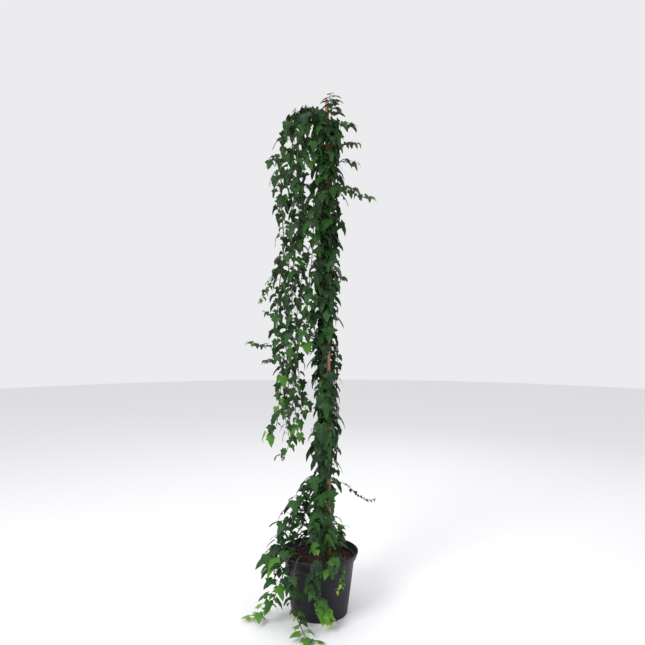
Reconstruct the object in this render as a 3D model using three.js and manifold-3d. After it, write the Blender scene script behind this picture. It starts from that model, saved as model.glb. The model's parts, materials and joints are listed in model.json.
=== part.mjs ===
// Climbing ivy in a nursery pot: a black plastic pot of soil, a bamboo cane, five stems tied to the cane,
// shoots that arch over its top and hang down, side shoots, and shoots that trail over the rim to the floor.
// Millimetres and degrees, +Z up, +Y away from the viewer. The origin is the centre of the pot's underside.
// Azimuths start at +X and go round through +Y.
import * as THREE from 'three';
import { mergeVertices } from 'three/addons/utils/BufferGeometryUtils.js';
import Module from 'manifold-3d';

const wasm = await Module();
wasm.setup();

// ---- Driving dimensions ----

const CLEARANCE = 0.3; // between pieces that touch
const SLIVER = 0.02; // no joined piece has corners closer than this

const POT = {
  height: 220,
  rimRadius: 140,
  collarHeight: 25,
  collarFlare: 7, // how far the collar widens up to the rim
  step: 7, // the collar stands out this far from the body
  baseRadius: 101,
  wall: 2,
  lip: 3, // the rim's width
  floorTop: 7,
  footWidth: 13, // the ring that the pot stands on
  centreRadius: 58, // the disc that also touches the ground
  recess: 4, // the ring between them is raised by this
  holeRadius: 6,
  holes: 6,
  sides: 28,
};

const SOIL = { depthBelowRim: 26, dishing: 4, lumps: 2.5, rings: 3 };

const CANE = {
  foot: [35, 10], // where its axis meets the pot's floor
  head: [27, 10], // where its axis ends
  top: 1847,
  radius: 8.5,
  headRadius: 7.5,
  jointEvery: 232,
  jointSwell: 1.3,
  jointLength: 9,
  boreRadius: 3.6,
  boreDepth: 30,
  sides: 8,
};

// The lowest tie's height is from the soil. The others are at shares of the way from the soil to the cane's top.
const TIE = { lowest: 305.805, shares: [0.3, 0.49, 0.67, 0.85], radius: 1.1, tail: 14, tilt: 4 };

const STEM = {
  step: 75, // between the sections of a stem, at most
  rootDepth: 22, // how far a stem goes into the soil
  endBelowCane: 75, // the climbing stems' tops below the cane's
  climberRadius: [3, 2],
};

const LEAF = {
  thickness: 1.2,
  petioleRadius: 0.8,
  petioleInStem: 0.55, // its radius inside the stem, at most, as a share of the stem's tip radius
  keelDepth: 1.8, // the petiole's depth where it meets the blade, as a share of its radius
  petiole: [0.32, 0.72], // shortest and longest, as shares of the blade's length
  petioleLift: 30, // above the horizontal
  sizeSpread: 0.2, // how far sizes vary either way
  turnSpread: 35, // how far a blade turns aside from its petiole
  dipSpread: 18,
  rollSpread: 22,
  tries: 14, // ways that a leaf may turn to find room
  turn: 47, // between those ways
  margin: 1.05, // room that a blade asks for, as a share of its size
  marginDepth: 1.4,
  floorEase: 1.5, // blades lie flatter within this many lengths of the floor
};
const GOLDEN_SHARE = 0.618034; // spreads the leaves evenly round their stem

// Right half of a blade's outline, from the notch to the last bay: across, along and up, as shares of its length.
const BLADE_HALF = [
  [0.03, 0, 0],
  [0.54, 0.18, -0.1],
  [0.22, 0.46, -0.03],
];
const BLADE_TIP = [0, 1, -0.17];
const BLADE_CENTRE = [0, 0.3, 0.04];

// ---- Helpers ----

const radians = THREE.MathUtils.degToRad;
const lerp = THREE.MathUtils.lerp;
const vector = (p) => new THREE.Vector3(...p);
const fraction = (x) => x - Math.floor(x);

// A point at a distance and azimuth from a vertical line.
const polar = (centre, distance, azimuth, z) => [
  centre.x + distance * Math.cos(radians(azimuth)),
  centre.y + distance * Math.sin(radians(azimuth)),
  z,
];

// A closed geometry as a manifold-3d solid.
function solidOf(geometry) {
  const bare = geometry.clone();
  bare.deleteAttribute('normal');
  bare.deleteAttribute('uv');
  const merged = mergeVertices(bare, 1e-3);
  return new wasm.Manifold(
    new wasm.Mesh({
      numProp: 3,
      vertProperties: merged.attributes.position.array,
      triVerts: new Uint32Array(merged.index.array),
    }),
  );
}

// A solid as a geometry again.
function geometryOf(solid) {
  const made = solid.getMesh();
  return new THREE.BufferGeometry()
    .setAttribute('position', new THREE.BufferAttribute(Float32Array.from(made.vertProperties), 3))
    .setIndex(new THREE.BufferAttribute(Uint32Array.from(made.triVerts), 1));
}

// Whether a joined or cut solid is clean: no two of its corners are closer than a sliver, and no face is
// thinner than half of one.
function isClean(solid) {
  const { vertProperties: flat, triVerts } = solid.getMesh();
  const corners = [];
  for (let i = 0; i < flat.length; i += 3) corners.push(vector([flat[i], flat[i + 1], flat[i + 2]]));
  for (let i = 0; i < triVerts.length; i += 3) {
    const [a, b, c] = [0, 1, 2].map((k) => corners[triVerts[i + k]]);
    const longest = Math.max(a.distanceTo(b), b.distanceTo(c), c.distanceTo(a));
    const doubleArea = b.clone().sub(a).cross(c.clone().sub(a)).length();
    if (doubleArea / longest < SLIVER / 2) return false;
  }
  corners.sort((a, b) => a.x - b.x);
  return corners.every((a, i) => {
    for (let j = i + 1; j < corners.length && corners[j].x - a.x < SLIVER; j++)
      if (a.distanceTo(corners[j]) < SLIVER) return false;
    return true;
  });
}

// A turned shape about +Z, from [radius, height] points that run up the outside.
function turned(profile, sides) {
  const points = profile.map(([r, z]) => new THREE.Vector2(r, z));
  return new THREE.LatheGeometry(points, sides).rotateX(Math.PI / 2);
}

// ---- Pot ----

const shoulder = POT.height - POT.collarHeight;
const bodyTopRadius = POT.rimRadius - POT.collarFlare - POT.step;
const potRadius = (z) => lerp(POT.baseRadius, bodyTopRadius, z / shoulder);

function potSolid() {
  const { rimRadius, baseRadius, centreRadius, recess, step, wall, lip, height, floorTop } = POT;
  const footInner = baseRadius - POT.footWidth;
  const shell = solidOf(
    turned(
      [
        [0, 0],
        [centreRadius, 0],
        [centreRadius + 2, recess],
        [footInner - 2, recess],
        [footInner, 0],
        [baseRadius - 1.5, 0],
        [potRadius(1.5), 1.5],
        [bodyTopRadius, shoulder],
        [bodyTopRadius + step - 1, shoulder + 1],
        [bodyTopRadius + step, shoulder + 3],
        [rimRadius, height - 2],
        [rimRadius - 1, height],
        [rimRadius - lip, height],
        [bodyTopRadius + step - wall - 0.5, shoulder + 4],
        [bodyTopRadius - wall, shoulder + 1],
        [potRadius(floorTop) - wall, floorTop],
        [0, floorTop],
      ],
      POT.sides,
    ),
  );
  const holeRing = (centreRadius + footInner) / 2;
  const holes = Array.from({ length: POT.holes }, (_, i) =>
    solidOf(
      new THREE.CylinderGeometry(POT.holeRadius, POT.holeRadius, 4 * floorTop, 8)
        .rotateX(Math.PI / 2)
        .translate(...polar({ x: 0, y: 0 }, holeRing, (360 * i) / POT.holes, 0)),
    ),
  );
  return holes.reduce((made, hole) => made.subtract(hole), shell);
}

// ---- Soil ----

const soilTop = POT.height - SOIL.depthBelowRim;

// The soil fills the pot; what stands in it is cut out of it with the clearance. Its facets are turned until
// the cuts are clean.
function soilSolid(standing) {
  const inner = (z) => potRadius(z) - POT.wall - CLEARANCE / Math.cos(Math.PI / POT.sides);
  const bottom = POT.floorTop + CLEARANCE;
  const edgeTop = soilTop - SOIL.dishing;
  const edge = inner(edgeTop);
  const profile = [
    [0, bottom],
    [inner(bottom), bottom],
    [edge, edgeTop],
  ];
  for (let ring = SOIL.rings; ring >= 0; ring--) {
    const share = ring / (SOIL.rings + 0.5);
    profile.push([edge * share, soilTop - SOIL.dishing * share * share]);
  }
  const geometry = turned(profile, POT.sides);
  const place = geometry.attributes.position;
  for (let i = 0; i < place.count; i++) {
    const [x, y, z] = [place.getX(i), place.getY(i), place.getZ(i)];
    const lump = Math.sin(x / 13 + 1) * Math.cos(y / 11) + 0.5 * Math.sin((x + y) / 7);
    if (z > edgeTop + 0.01) place.setZ(i, z + SOIL.lumps * lump);
  }
  const cut = (turn) =>
    standing.reduce((made, piece) => made.subtract(piece), solidOf(geometry).rotate([0, 0, turn]));
  const turns = Array.from({ length: POT.sides }, (_, i) => (360 * i) / POT.sides);
  return cut(turns.find((turn) => isClean(cut(turn))) ?? 0);
}

// ---- Bamboo cane ----

const caneFoot = new THREE.Vector3(...CANE.foot, POT.floorTop + CLEARANCE);
const caneHead = new THREE.Vector3(...CANE.head, CANE.top);

// The cane's axis at a height.
const caneAxis = (z) => caneFoot.clone().lerp(caneHead, (z - caneFoot.z) / (caneHead.z - caneFoot.z));

// The cane, hollow at its cut top, or with extra all round it, the hole that it needs.
function caneSolid(extra = 0) {
  const length = caneFoot.distanceTo(caneHead);
  const radius = (z) => lerp(CANE.radius, CANE.headRadius, z / length) + extra;
  const profile = [
    [0, 0],
    [radius(0), 0],
  ];
  for (let z = CANE.jointEvery / 2; z < length - CANE.jointLength; z += CANE.jointEvery) {
    profile.push([radius(z), z - CANE.jointLength / 2]);
    profile.push([radius(z) + CANE.jointSwell, z]);
    profile.push([radius(z), z + CANE.jointLength / 2]);
  }
  profile.push([radius(length), length]);
  if (extra === 0) {
    profile.push([CANE.boreRadius, length]);
    profile.push([CANE.boreRadius, length - CANE.boreDepth]);
    profile.push([0, length - CANE.boreDepth]);
  } else profile.push([0, length]);
  const lean = new THREE.Quaternion().setFromUnitVectors(
    new THREE.Vector3(0, 0, 1),
    caneHead.clone().sub(caneFoot).normalize(),
  );
  return solidOf(
    turned(profile, CANE.sides)
      .applyQuaternion(lean)
      .translate(...caneFoot.toArray()),
  );
}

// ---- Routes of the climbing stems ----

const tieHeights = [soilTop + TIE.lowest, ...TIE.shares.map((share) => lerp(soilTop, CANE.top, share))];
const climberTop = CANE.top - STEM.endBelowCane;
const climberRing = CANE.radius + CANE.jointSwell + STEM.climberRadius[0] + 2 * CLEARANCE;

// Azimuths round the cane at the soil, at each tie and at the top, how far the stem bows out between ties,
// and what its leaves have of their own. They turn away from the cane unless an azimuth is given.
const CLIMBERS = [
  { azimuths: [215, 185, 205, 230, 270, 310, 290], bow: 10, leaves: { first: 70, spacing: 44 } },
  { azimuths: [150, 145, 160, 190, 225, 250, 235], bow: 14, leaves: { first: 60, spacing: 48 } },
  { azimuths: [110, 105, 120, 145, 175, 195, 180], bow: 9, leaves: { first: 380, spacing: 58 } },
  {
    azimuths: [60, 65, 75, 90, 110, 130, 120],
    bow: 11,
    leaves: { first: 400, spacing: 62, towards: 105, spread: 50 },
  },
  { azimuths: [262, 240, 250, 262, 325, 360, 340], bow: 8, leaves: { first: 85, spacing: 42 } },
];
const CLIMBER_LEAVES = { size: 58, droop: 60, tip: 0.8, spread: 75 };

function climberPoints({ azimuths, bow }) {
  const heights = [soilTop - STEM.rootDepth, ...tieHeights, climberTop];
  const points = [];
  heights.forEach((z, i) => {
    if (i) {
      const middle = (heights[i - 1] + z) / 2;
      const azimuth = (azimuths[i - 1] + azimuths[i]) / 2;
      points.push(polar(caneAxis(middle), climberRing + bow, azimuth, middle));
    }
    const tied = i > 0 && i < heights.length - 1;
    points.push(polar(caneAxis(z), climberRing + (tied ? 0 : 6), azimuths[i], z));
  });
  return points;
}

// ---- Routes of the shoots ----

// Each shoot gives the stem that it leaves and the height there, its route, its radius at both ends, and its
// leaves: their size, their spacing, their droop below the horizontal, the first one's place, the size at the
// tip as a share, and the azimuth that they turn to.

// Shoots of the crown, with heights from the cane's top.
const CROWN_SHOOTS = [
  {
    name: 'hanging_shoot_1', from: 'climbing_stem_2', height: -75, radius: [2, 1.1],
    points: [
      [-25, -25, -42], [-75, -30, -57], [-112, -30, -112], [-135, -25, -227], [-135, -20, -387],
      [-128, -20, -547], [-145, -25, -697], [-150, -25, -852], [-135, -20, -982],
      [-145, -20, -1092], [-155, -25, -1177], [-190, -30, -1227],
    ],
    leaves: { size: 50, spacing: 43, droop: 60, first: 45, tip: 0.75, towards: 235 },
  },
  {
    name: 'hanging_shoot_2', from: 'climbing_stem_3', height: -75, radius: [2, 1.1],
    points: [
      [-25, 15, -42], [-65, 20, -47], [-92, 20, -112], [-105, 15, -252], [-100, 15, -417],
      [-110, 10, -572], [-115, 10, -727], [-122, 10, -872], [-112, 5, -1022], [-125, 5, -1132],
      [-110, 0, -1217], [-115, 0, -1262], [-135, -5, -1307],
    ],
    leaves: { size: 50, spacing: 45, droop: 58, first: 55, tip: 0.75, towards: 215 },
  },
  {
    name: 'hanging_shoot_3', from: 'climbing_stem_1', height: -75, radius: [2, 1],
    points: [
      [-20, -45, -67], [-55, -55, -85], [-72, -55, -167], [-80, -50, -297], [-72, -45, -427],
      [-85, -40, -552], [-95, -45, -672], [-98, -45, -807], [-100, -40, -927], [-90, -40, -1062],
      [-80, -40, -1167], [-70, -45, -1227],
    ],
    leaves: { size: 48, spacing: 44, droop: 60, first: 40, tip: 0.8, towards: 255 },
  },
  {
    name: 'hanging_shoot_4', from: 'climbing_stem_4', height: -75, radius: [2, 1],
    points: [
      [-15, 50, -52], [-42, 55, -87], [-55, 50, -207], [-60, 45, -337], [-65, 40, -462],
      [-60, 40, -577], [-72, 45, -687], [-85, 40, -807], [-80, 38, -917], [-75, 35, -1012],
      [-55, 30, -1082], [-50, 30, -1147],
    ],
    leaves: { size: 48, spacing: 50, droop: 58, first: 60, tip: 0.8, towards: 150 },
  },
  {
    name: 'hanging_shoot_5', from: 'climbing_stem_1', height: -122, radius: [1.5, 0.9],
    points: [[-8, -42, -135], [-25, -45, -197], [-30, -42, -267]],
    leaves: { size: 44, spacing: 38, droop: 55, first: 30, tip: 0.8, towards: 250 },
  },
  {
    name: 'hanging_shoot_6', from: 'climbing_stem_1', height: -347, radius: [1.6, 0.9],
    points: [
      [-5, -50, -367], [-20, -58, -472], [-25, -58, -567], [-35, -58, -667], [-45, -52, -762],
      [-45, -50, -842], [-35, -50, -912],
    ],
    leaves: { size: 52, spacing: 38, droop: 58, first: 35, tip: 0.8, towards: 260 },
  },
  {
    name: 'crown_shoot', from: 'climbing_stem_5', height: -75, radius: [1.8, 1.2],
    points: [[44, -6, -47], [42, -12, -19], [34, -12, 6]],
    leaves: { size: 42, spacing: 15, droop: 20, first: 12, tip: 0.8, towards: 270 },
  },
  {
    name: 'left_shoot_1', from: 'hanging_shoot_1', height: -607, radius: [1.2, 0.8],
    points: [[-159, -36, -631], [-184, -44, -692], [-215, -50, -742]],
    leaves: { size: 25, spacing: 27, droop: 50, first: 25, tip: 0.7, towards: 220 },
  },
  {
    name: 'left_shoot_2', from: 'hanging_shoot_1', height: -882, radius: [1.3, 0.8],
    points: [[-185, -40, -892], [-225, -50, -889], [-258, -55, -875]],
    leaves: { size: 38, spacing: 24, droop: 25, first: 32, tip: 0.5, towards: 220 },
  },
  {
    name: 'left_shoot_3', from: 'hanging_shoot_1', height: -787, radius: [1.1, 0.8],
    points: [[-175, -15, -781], [-202, -10, -765]],
    leaves: { size: 27, spacing: 22, droop: 40, first: 20, tip: 0.7, towards: 200 },
  },
  {
    name: 'left_shoot_4', from: 'hanging_shoot_2', height: -932, radius: [1.1, 0.8],
    points: [[-160, 12, -942], [-202, 15, -954]],
    leaves: { size: 30, spacing: 24, droop: 45, first: 30, tip: 0.7, towards: 200 },
  },
  {
    name: 'left_shoot_5', from: 'hanging_shoot_1', height: -207, radius: [1.2, 0.8],
    points: [[-158, -38, -215], [-178, -45, -257]],
    leaves: { size: 32, spacing: 26, droop: 55, first: 22, tip: 0.8, towards: 220 },
  },
  {
    name: 'right_shoot_1', from: 'climbing_stem_5', height: -322, radius: [1.5, 0.8],
    points: [[86, -23, -329], [121, -31, -346], [156, -40, -363], [196, -45, -371]],
    leaves: { size: 40, spacing: 29, droop: 40, first: 32, tip: 0.5, towards: 290 },
  },
  {
    name: 'right_shoot_2', from: 'climbing_stem_5', height: -105, radius: [1.4, 0.9],
    points: [[85, -15, -95], [125, -22, -109]],
    leaves: { size: 38, spacing: 30, droop: 45, first: 25, tip: 0.8, towards: 290 },
  },
  {
    name: 'right_shoot_3', from: 'climbing_stem_4', height: -162, radius: [1.4, 0.9],
    points: [[61, 41, -156], [104, 43, -149], [148, 40, -151]],
    leaves: { size: 36, spacing: 33, droop: 45, first: 30, tip: 0.6, towards: 300 },
  },
  {
    name: 'right_shoot_4', from: 'climbing_stem_5', height: -229, radius: [1.4, 0.9],
    points: [[90, -22, -232], [133, -32, -249]],
    leaves: { size: 40, spacing: 32, droop: 50, first: 28, tip: 0.7, towards: 290 },
  },
  {
    name: 'right_shoot_5', from: 'climbing_stem_4', height: -642, radius: [1.2, 0.8],
    points: [[58, 34, -639], [96, 30, -651]],
    leaves: { size: 34, spacing: 30, droop: 50, first: 28, tip: 0.6, towards: 300 },
  },
  {
    name: 'right_shoot_6', from: 'climbing_stem_4', height: -862, radius: [1.5, 0.8],
    points: [[54, 36, -892], [54, 38, -1007], [56, 34, -1147], [54, 34, -1272], [52, 32, -1367]],
    leaves: { size: 30, spacing: 42, droop: 65, first: 35, tip: 0.8, towards: 320, spread: 60 },
  },
];

// The sizes that the routes below are drawn for: the shoots of the crown stretch with the climb from the soil
// to the cane's top, and those of the foot spread with the pot's rim.
const DRAWN = { climb: 1653, rimRadius: 140 };

// Shoots of the foot, with heights from the soil. Those that leave no stem are rooted in the soil.
const FOOT_SHOOTS = [
  {
    name: 'right_shoot_7', from: 'climbing_stem_4', height: 268, radius: [1.2, 0.7],
    points: [[95, 55, 248], [140, 78, 201], [180, 85, 178], [210, 86, 182]],
    leaves: { size: 17, spacing: 36, droop: 30, first: 60, tip: 0.8, towards: 300 },
  },
  {
    name: 'base_shoot_1', from: 'climbing_stem_1', height: 298, radius: [1.8, 1],
    points: [
      [-48, -42, 258], [-85, -52, 194], [-117, -55, 131], [-142, -52, 76], [-160, -45, 28],
      [-174, -38, -8],
    ],
    leaves: { size: 46, spacing: 31, droop: 40, first: 22, tip: 0.95, towards: 235 },
  },
  {
    name: 'base_shoot_2', from: 'climbing_stem_2', height: 261, radius: [1.6, 1],
    points: [[-30, 18, 231], [-68, 10, 156], [-98, 0, 96], [-118, -8, 58]],
    leaves: { size: 46, spacing: 30, droop: 40, first: 25, tip: 0.8, towards: 225 },
  },
  {
    name: 'base_shoot_3', from: 'climbing_stem_5', height: 246, radius: [1.6, 1],
    points: [[-5, -52, 221], [-14, -78, 156], [-12, -92, 91], [-10, -98, 46]],
    leaves: { size: 44, spacing: 28, droop: 50, first: 20, tip: 0.8, towards: 260 },
  },
  {
    name: 'base_shoot_4', from: 'climbing_stem_5', height: 136, radius: [1.5, 1],
    points: [[32, -42, 124], [34, -62, 101], [30, -78, 74]],
    leaves: { size: 42, spacing: 22, droop: 35, first: 16, tip: 0.8, towards: 290 },
  },
  {
    name: 'base_shoot_5', radius: [1.6, 1],
    points: [[58, 12, -22], [60, 10, 41], [70, 4, 86], [84, -2, 118]],
    leaves: { size: 42, spacing: 27, droop: 35, first: 55, tip: 0.8, towards: 300 },
  },
  {
    name: 'base_shoot_6', radius: [1.8, 1],
    points: [[-20, 45, -22], [-28, 50, 46], [-50, 62, 106], [-70, 78, 136]],
    leaves: { size: 46, spacing: 27, droop: 30, first: 50, tip: 0.8, towards: 130 },
  },
  {
    name: 'base_shoot_7', radius: [1.8, 1],
    points: [[30, 55, -22], [34, 64, 46], [44, 84, 96], [52, 100, 106]],
    leaves: { size: 46, spacing: 27, droop: 30, first: 50, tip: 0.8, towards: 70 },
  },
];

// Shoots over the rim: the azimuth and the share of the soil's radius where each is rooted, and then its route
// as azimuths, distances outside the rim, and heights as shares of the pot's.
const TRAILING_SHOOTS = [
  {
    name: 'trailing_shoot_1', root: [213, 0.45], radius: [2, 1],
    route: [
      [221, -45, 1.03], [225, 4, 1.065], [223, 29, 0.81], [217, 44, 0.52], [210, 58, 0.28],
      [203, 85, 0.1], [198, 118, 0.023],
    ],
    leaves: { size: 54, spacing: 40, droop: 30, first: 150, tip: 0.6, towards: 220 },
  },
  {
    name: 'trailing_shoot_2', root: [242, 0.45], radius: [1.8, 0.9],
    route: [
      [241, -40, 1.02], [240, 4, 1.06], [237, 20, 0.8], [236, 28, 0.47], [241, 33, 0.3],
      [253, 59, 0.13], [261, 93, 0.03], [266, 128, 0.02], [271, 162, 0.02],
    ],
    leaves: { size: 48, spacing: 52, droop: 30, first: 165, tip: 0.6, towards: 250 },
  },
  {
    name: 'trailing_shoot_3', root: [275, 0.5], radius: [1.8, 0.9],
    route: [
      [269, -40, 1.015], [267, 5, 1.06], [264, 16, 0.87], [264, 15, 0.66], [268, 12, 0.48],
      [274, 10, 0.31], [283, 20, 0.12],
    ],
    leaves: { size: 46, spacing: 33, droop: 50, first: 115, tip: 0.85, towards: 265 },
  },
  {
    name: 'trailing_shoot_4', root: [317, 0.55], radius: [1.8, 0.9],
    route: [[302, -30, 1.025], [291, 6, 1.065], [285, 16, 0.97], [278, 19, 0.87]],
    leaves: { size: 44, spacing: 27, droop: 45, first: 75, tip: 0.8, towards: 280 },
  },
  {
    name: 'trailing_shoot_5', root: [326, 0.72], radius: [1.3, 0.7],
    route: [
      [313, -14, 1.02], [306, 7, 1.06], [300, 17, 0.86], [298, 15, 0.67], [293, 11, 0.55],
    ],
    leaves: { size: 20, spacing: 24, droop: 50, first: 130, tip: 0.8, towards: 290 },
  },
  {
    name: 'trailing_shoot_6', root: [193, 0.45], radius: [2, 1],
    route: [[203, -34, 1.025], [207, 5, 1.07], [209, 32, 0.91], [210, 43, 0.75]],
    leaves: { size: 62, spacing: 26, droop: 45, first: 90, tip: 0.85, towards: 235 },
  },
  {
    name: 'trailing_shoot_7', root: [62, 0.65], radius: [1.8, 0.9],
    route: [
      [68, -30, 1.02], [72, 5, 1.065], [75, 20, 0.82], [78, 24, 0.45], [82, 40, 0.14],
      [86, 74, 0.023],
    ],
    leaves: { size: 46, spacing: 38, droop: 35, first: 110, tip: 0.6, towards: 70 },
  },
  {
    name: 'trailing_shoot_8', root: [120, 0.6], radius: [1.8, 0.9],
    route: [[122, -25, 1.02], [122, 5, 1.065], [122, 30, 0.82], [122, 36, 0.5]],
    leaves: { size: 48, spacing: 34, droop: 45, first: 100, tip: 0.7, towards: 130 },
  },
];

// ---- Stems ----

// A stem's centreline is straight between sections, some at the points that it is led through.
class Stem {
  constructor(name, index, points, radius, leaves) {
    Object.assign(this, { name, index, radius, leaves });
    const curve = new THREE.CatmullRomCurve3(points.map(vector), false, 'catmullrom', 0.5);
    const spans = points.length - 1;
    this.places = [curve.getPoint(0)];
    for (let span = 0; span < spans; span++) {
      const parts = Math.ceil(vector(points[span]).distanceTo(vector(points[span + 1])) / STEM.step);
      for (let part = 1; part <= parts; part++)
        this.places.push(curve.getPoint((span + part / parts) / spans));
    }
    this.distances = [0];
    this.places.slice(1).forEach((place, i) => {
      this.distances.push(this.distances[i] + place.distanceTo(this.places[i]));
    });
    this.length = this.distances.at(-1);
  }

  // The place at a distance along the centreline.
  at(distance) {
    const i = Math.max(1, this.distances.findIndex((d) => d >= distance));
    const [near, far] = [this.distances[i - 1], this.distances[i]];
    return this.places[i - 1].clone().lerp(this.places[i], (distance - near) / (far - near));
  }

  // The place at a height, looked for from the tip back.
  atHeight(z) {
    for (let i = this.places.length - 1; i > 0; i--) {
      const [a, b] = [this.places[i - 1], this.places[i]];
      if ((a.z - z) * (b.z - z) <= 0) return a.clone().lerp(b, (z - a.z) / (b.z - a.z));
    }
    return this.places.at(-1).clone();
  }

  // A tapered tube: a cylinder with its rings moved on to the centreline.
  solid(extra = 0) {
    const [base, tip] = this.radius;
    const steps = this.places.length - 1;
    const sides = base > 2 ? 5 : 4;
    const tube = new THREE.CylinderGeometry(tip + extra, base + extra, 1, sides, steps);
    const frames = [];
    let side = new THREE.Vector3(0.31, 0.95, 0.02);
    this.places.forEach((_, i) => {
      const [before, after] = [this.places[Math.max(i - 1, 0)], this.places[Math.min(i + 1, steps)]];
      const way = after.clone().sub(before).normalize();
      side = side.clone().addScaledVector(way, -side.dot(way)).normalize();
      frames.push([side, way.cross(side)]);
    });
    const place = tube.attributes.position;
    for (let i = 0; i < place.count; i++) {
      const ring = Math.round((place.getY(i) + 0.5) * steps);
      const [x, z] = [place.getX(i), place.getZ(i)];
      const moved = this.places[ring].clone();
      moved.addScaledVector(frames[ring][1], x).addScaledVector(frames[ring][0], z);
      place.setXYZ(i, ...moved.toArray());
    }
    return solidOf(tube);
  }
}

// A branch starts beside its parent, with the clearance between them.
function branchStart(parent, height, next, radius) {
  const start = parent.atHeight(height);
  const way = vector(next).sub(start).normalize();
  return start.addScaledVector(way, parent.radius[0] + radius + CLEARANCE).toArray();
}

function growStems() {
  const stems = CLIMBERS.map(
    (climber, i) =>
      new Stem(`climbing_stem_${i + 1}`, i, climberPoints(climber), STEM.climberRadius, {
        ...CLIMBER_LEAVES,
        ...climber.leaves,
      }),
  );
  const add = (shoot, points) =>
    stems.push(new Stem(shoot.name, stems.length, points, shoot.radius, { spread: 140, ...shoot.leaves }));
  const climb = (CANE.top - soilTop) / DRAWN.climb;
  const wider = POT.rimRadius / DRAWN.rimRadius;
  for (const [shoots, level, high, wide] of [
    [CROWN_SHOOTS, CANE.top, climb, 1],
    [FOOT_SHOOTS, soilTop, 1, wider],
  ]) {
    for (const shoot of shoots) {
      const points = shoot.points.map(([x, y, z]) => [x * wide, y * wide, z * high + level]);
      const parent = stems.find((stem) => stem.name === shoot.from);
      if (parent)
        points.unshift(branchStart(parent, shoot.height * high + level, points[0], shoot.radius[0]));
      add(shoot, points);
    }
  }
  for (const shoot of TRAILING_SHOOTS) {
    const centre = { x: 0, y: 0 };
    const [azimuth, share] = shoot.root;
    const rooted = polar(centre, share * bodyTopRadius, azimuth, soilTop - STEM.rootDepth);
    const route = shoot.route.map(([a, out, height]) =>
      polar(centre, POT.rimRadius + out, a, height * POT.height),
    );
    add(shoot, [rooted, ...route]);
  }
  return stems;
}

// ---- Leaves ----

// A repeatable value from 0 to 1 for one leaf of one stem.
const scatter = (stem, leaf, use) =>
  fraction(Math.sin(stem * 127.1 + leaf * 311.7 + use * 74.7) * 43758.5453);

// How a leaf stands at one try: where its petiole starts and ends, and its blade's axes and length.
function leafPose(stem, count, attempt) {
  const { size, spacing, droop, first, tip, towards, spread } = stem.leaves;
  const distance = first + count * spacing;
  const vary = (use, low, high) => lerp(low, high, scatter(stem.index, count, use));
  const about = (use, range) => vary(use, -range, range);
  const length = size * lerp(1, tip, distance / stem.length) * (1 + about(0, LEAF.sizeSpread));
  const start = stem.at(distance);
  const outward = start.clone().sub(caneAxis(start.z));
  const facing = towards === undefined ? Math.atan2(outward.y, outward.x) : radians(towards);
  const round = 2 * fraction(count * GOLDEN_SHARE + stem.index * 0.37) - 1;
  const azimuth = facing + radians(round * spread + attempt * LEAF.turn);
  const up = new THREE.Vector3(0, 0, 1);
  const out = new THREE.Vector3(Math.cos(azimuth), Math.sin(azimuth), 0);
  const lift = radians(LEAF.petioleLift);
  const petiole = length * vary(1, ...LEAF.petiole) * (attempt % 2 ? 0.7 : 1);
  const base = start
    .clone()
    .addScaledVector(out, petiole * Math.cos(lift))
    .addScaledVector(up, petiole * Math.sin(lift));
  const ease = Math.min(1, base.z / (LEAF.floorEase * length));
  out.applyAxisAngle(up, radians(about(2, LEAF.turnSpread)));
  const dip = radians(droop + about(3, LEAF.dipSpread)) * ease;
  const roll = radians(about(4, LEAF.rollSpread)) * ease;
  const along = out.clone().multiplyScalar(Math.cos(dip)).addScaledVector(up, -Math.sin(dip));
  const across = out.clone().cross(up).applyAxisAngle(along, roll);
  const hold = Math.min(LEAF.petioleRadius, LEAF.petioleInStem * stem.radius[1]);
  return { start, hold, base, along, across, face: across.clone().cross(along), length };
}

// A leaf as one closed shape: a three-sided petiole that opens into a thin domed blade.
function leafSolid(pose, { grow = 1, deepen = 0, petiole = true } = {}) {
  const { start, hold, base, along, across, face, length } = pose;
  const place = ([x, y, z], lift = 0) =>
    base
      .clone()
      .addScaledVector(across, x * grow * length)
      .addScaledVector(along, lerp(BLADE_CENTRE[1], y, grow) * length)
      .addScaledVector(face, z * length + lift);
  const mirrored = BLADE_HALF.map(([x, y, z]) => [-x, y, z]).reverse();
  const rim = [...BLADE_HALF, BLADE_TIP, ...mirrored].map((p) => place(p));
  const last = rim.length - 1;
  const half = (LEAF.thickness + deepen) / 2;
  const radius = LEAF.petioleRadius + deepen / 3;
  const [top, bottom, keel, right, left, below] = [1, 2, 3, 4, 5, 6].map((i) => last + i);
  const way = base.clone().sub(start).normalize();
  const side = across.clone().addScaledVector(way, -across.dot(way)).normalize();
  const above = side.clone().cross(way);
  const over = above.clone().add(face).normalize(); // off the petiole and the blade alike
  const vertices = [
    ...rim,
    place(BLADE_CENTRE, half),
    place(BLADE_CENTRE, -half),
    base.clone().addScaledVector(over, -radius * LEAF.keelDepth),
  ];
  const faces = [[last, 0, top], [keel, last, bottom], [0, keel, bottom]];
  for (let i = 0; i < last; i++) faces.push([i, i + 1, top], [i + 1, i, bottom]);
  if (petiole) {
    for (const [s, a] of [[0.87, 0.5], [-0.87, 0.5], [0, -1]])
      vertices.push(start.clone().addScaledVector(side, s * hold).addScaledVector(above, a * hold));
    faces.push([0, last, left], [0, left, right], [last, keel, below], [last, below, left]);
    faces.push([keel, 0, right], [keel, right, below], [right, left, below]);
  } else faces.push([0, last, keel]);
  return new wasm.Manifold(
    new wasm.Mesh({
      numProp: 3,
      vertProperties: Float32Array.from(vertices.flatMap((v) => v.toArray())),
      triVerts: Uint32Array.from(faces.flat()),
    }),
  );
}

// All that stands in the way of a leaf, each with its box, so that far pieces cost nothing.
const crowd = [];
const join = (solid) => crowd.push({ solid, box: solid.boundingBox() });

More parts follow.
